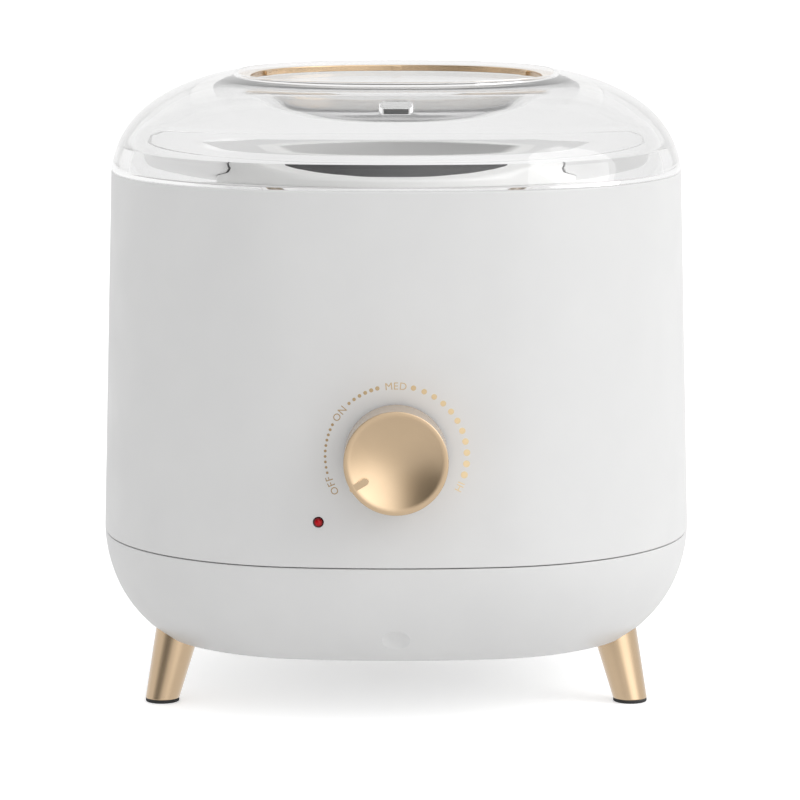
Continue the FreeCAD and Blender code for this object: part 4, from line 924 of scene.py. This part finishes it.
def cup(spec):
    radius, corner, wall, bottom = spec["radius"], spec["corner"], spec["wall"], spec["bottom"]
    soft = spec["soft"]
    points = [(0, bottom)] + arc(radius - corner, bottom + corner, corner, -90, 0, 12)
    points += [(radius, spec["rimBase"])]
    if "lip" in spec:       # the rim's edge is rolled down towards the deck
        inner, under = spec["rim"] - spec["lipWall"], spec["rimBase"] - spec["lip"]
        points += [(inner, spec["rimBase"]), (inner, under), (spec["rim"], under)]
    else:
        points += [(spec["rim"], spec["rimBase"], soft)]
    points += [(spec["rim"], spec["rimTop"], soft), (radius - wall, spec["rimTop"], soft)]
    points += arc(radius - corner, bottom + corner, corner - wall, 0, -90, 12) + [(0, bottom + wall)]
    return spun(points, steps=160)


def potAndWell():
    finished(cup(potSpec), "waxPot", potCoating, "pot", ["wax_pot"])
    finished(cup(wellSpec), "heaterWell", blastedAluminium, "housing", ["heater_well"])


potAndWell()
print("pot and well done")

# knob

knobSpec = {
    "back": 90.3, "front": 104.3, "radius": 15.05, "wall": 1.0, "land": 13.5, "dish": 3.0, "dishSteps": 20,
    "pointerWidth": 2.0, "pointerInner": 10.2, "pointerPast": 0.8, "pointerSink": 0.4, "pointerBelow": 0.02,
    "pointerAngle": 210.8,
}


def knob():
    spec = knobSpec
    front, back = spec["front"], spec["back"]
    inside = spec["radius"] - spec["wall"]
    crown = front - spec["dish"] - spec["wall"]
    edge = spec["land"]
    sphere = (edge ** 2 + spec["dish"] ** 2) / (2 * spec["dish"])
    points = [(inside, back, 0.2), (spec["radius"], back, 0.3), (spec["radius"], front, 0.22),
              (edge, front, 0.55)]
    for step in range(1, spec["dishSteps"] + 1):
        radius = edge * (1 - step / spec["dishSteps"])
        points.append((radius, front - spec["dish"] + sphere - sqrt(sphere ** 2 - radius ** 2)))
    points += [(0, crown), (inside, crown)]
    form = spun(points, steps=160, closed=True)
    length = edge + spec["pointerPast"] - spec["pointerInner"]
    low = crown + spec["pointerSink"]
    bar = stadium(length + spec["pointerWidth"], spec["pointerWidth"], front - spec["pointerBelow"] - low,
                  (spec["pointerInner"] + length / 2, 0, low))
    form = carved(form, aboutAxis(bar, spec["pointerAngle"]), "UNION")
    finished(form, "controlKnob", goldTurned, "knob", ["knob_shell"],
             centre=(0, 0, shellSpec["knobHeight"]), turn=forward)


knob()
print("knob done")

# indicator lamp and cord inlet

lampSpec = {"back": 84.0, "flange": 1.9, "flangeThick": 0.8, "radius": 1.5, "crown": 88.0}
inletSpec = {
    # (radius, distance back from the axis, edge rounding)
    "profile": [(3.2, 78.0, 0.4), (6.0, 78.0, 0.5), (6.0, 90.0), (8.0, 90.0, 0.3), (8.0, 92.0, 0.9),
                (4.6, 92.0, 0.2), (4.0, 91.2, 0.2), (3.2, 91.2, 0.3)],
}


def lampAndInlet():
    spec = lampSpec
    back, flange, radius = spec["back"], spec["flange"], spec["radius"]
    front = back + spec["flangeThick"]
    lens = spun([(0, back), (flange, back), (flange, front), (radius, front)]
                + arc(0, spec["crown"], radius, 0, 90, 10), steps=48)
    finished(lens, "lampLens", redLens, "housing", ["indicator_lens"],
             centre=(lensSpec["side"], 0, lensSpec["height"]), turn=forward)
    finished(spun(inletSpec["profile"], steps=96, closed=True), "cordInlet", darkPlastic, "housing",
             ["cord_gland"], centre=(0, 0, shellSpec["glandHeight"]), turn=backward)


lampAndInlet()
print("lamp and cord inlet done")

# printed scale round the knob

scaleSpec = {
    "radius": 20.5, "thick": 0.04, "sink": 0.02,
    # start angle, end angle clockwise from the top, dots, first and last diameter
    "dots": [(-103.8, -63.6, 10, 0.76, 0.86), (-41.4, -15.2, 6, 0.95, 1.25), (14.2, 105.6, 11, 1.55, 2.05)],
    "words": [("OFF", -115.0, False), ("ON", -53.0, False), ("MED", 0.0, False), ("HI", 116.0, True)],
    "letterHeight": 2.05, "letterGap": 0.5535, "centreHeight": 82.8,
}


def wrapped(form):
    # lays a flat form, drawn in x and z, on the front wall and gives it a foil's thickness
    for vert in form.verts:
        vert.co.y = -wallFront(vert.co.x, vert.co.z) + scaleSpec["sink"]
    bmesh.ops.recalc_face_normals(form, faces=form.faces)
    grown = bmesh.ops.extrude_face_region(form, geom=form.faces[:])["geom"]
    verts = [item for item in grown if isinstance(item, bmesh.types.BMVert)]
    bmesh.ops.translate(form, vec=(0, -scaleSpec["thick"], 0), verts=verts)
    return form


def dialPoint(angle, radius):
    turn = radians(angle)
    return Vector((radius * sin(turn), 0, scaleSpec["centreHeight"] + radius * cos(turn)))


def dot(angle, diameter):
    form = bmesh.new()
    bmesh.ops.create_circle(form, cap_ends=True, segments=32, radius=diameter / 2)
    bmesh.ops.rotate(form, verts=form.verts, matrix=forward)
    bmesh.ops.translate(form, vec=dialPoint(angle, scaleSpec["radius"]), verts=form.verts)
    return form


def letterForm(letter):
    # a built-in letter as a flat mesh, one unit high, centred, with its advance width
    curve = bpy.data.curves.new("letter", "FONT")
    curve.body = letter
    curve.resolution_u = 8
    item = bpy.data.objects.new("letter", curve)
    scene.collection.objects.link(item)
    mesh = bpy.data.meshes.new_from_object(item.evaluated_get(bpy.context.evaluated_depsgraph_get()))
    form = bmesh.new()
    form.from_mesh(mesh)
    bpy.data.meshes.remove(mesh)
    bpy.data.objects.remove(item)
    bpy.data.curves.remove(curve)
    low = Vector([min(vert.co[axis] for vert in form.verts) for axis in range(3)])
    high = Vector([max(vert.co[axis] for vert in form.verts) for axis in range(3)])
    tall = high.y - low.y
    bmesh.ops.translate(form, vec=-(low + high) / 2, verts=form.verts)
    bmesh.ops.scale(form, vec=(1 / tall, 1 / tall, 1), verts=form.verts)
    bmesh.ops.remove_doubles(form, verts=form.verts, dist=1e-5)
    return form, (high.x - low.x) / tall


def word(text, angle, inward):
    # letters set one by one round the scale's circle
    size = scaleSpec["letterHeight"]
    glyphs = [letterForm(letter) for letter in text]
    gap = scaleSpec["letterGap"]
    total = sum(width * size for _, width in glyphs) + gap * (len(text) - 1)
    along = -total / 2
    forms = []
    for form, width in glyphs:
        middle = along + width * size / 2
        step = degrees(middle / scaleSpec["radius"])
        spot = angle - step if inward else angle + step
        bmesh.ops.scale(form, vec=(size, size, 1), verts=form.verts)
        bmesh.ops.rotate(form, verts=form.verts, matrix=forward)
        lean = radians(spot + 180 if inward else spot)
        bmesh.ops.rotate(form, verts=form.verts, matrix=Matrix.Rotation(lean, 3, "Y"))
        bmesh.ops.translate(form, vec=dialPoint(spot, scaleSpec["radius"]), verts=form.verts)
        forms.append(form)
        along += width * size + gap
    return forms


def printedScale():
    forms = []
    for first, last, count, small, large in scaleSpec["dots"]:
        for index in range(count):
            share = index / (count - 1)
            forms.append(dot(first + (last - first) * share, small + (large - small) * share))
    for text, angle, inward in scaleSpec["words"]:
        forms += word(text, angle, inward)
    finished(wrapped(joined(*forms)), "printedScale", goldFoil, "housing", [], sharp=60)


printedScale()
print("scale done")

# finishes for the CAD nodes that stay

keptFinishes = {
    "housing_screws": zincSteel, "leg_screws": zincSteel, "ring_screws": zincSteel,
    "bracket_screws": zincSteel, "terminal_screws": zincSteel, "strap_screw": zincSteel,
    "band_strap": zincSteel, "retaining_ring": zincSteel, "thermostat_bracket": zincSteel,
    "thermostat_nut": zincSteel, "fuse_clip": zincSteel, "thermostat_shaft": zincSteel,
    "heat_reflector": spunAluminium, "heater_band": micaHeater, "insulation_sleeve": fibreSleeve,
    "thermal_fuse": siliconeWire, "knob_hub": darkPlastic, "thermostat_body": darkPlastic,
    "indicator_holder": darkPlastic, "lamp_board": boardGreen, "gland_nut": darkPlastic,
    "terminal_block": darkPlastic, "lead_wires": siliconeWire,
}
for name, material in keptFinishes.items():
    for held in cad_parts[name].material_slots:
        held.material = material
print("inner parts finished")
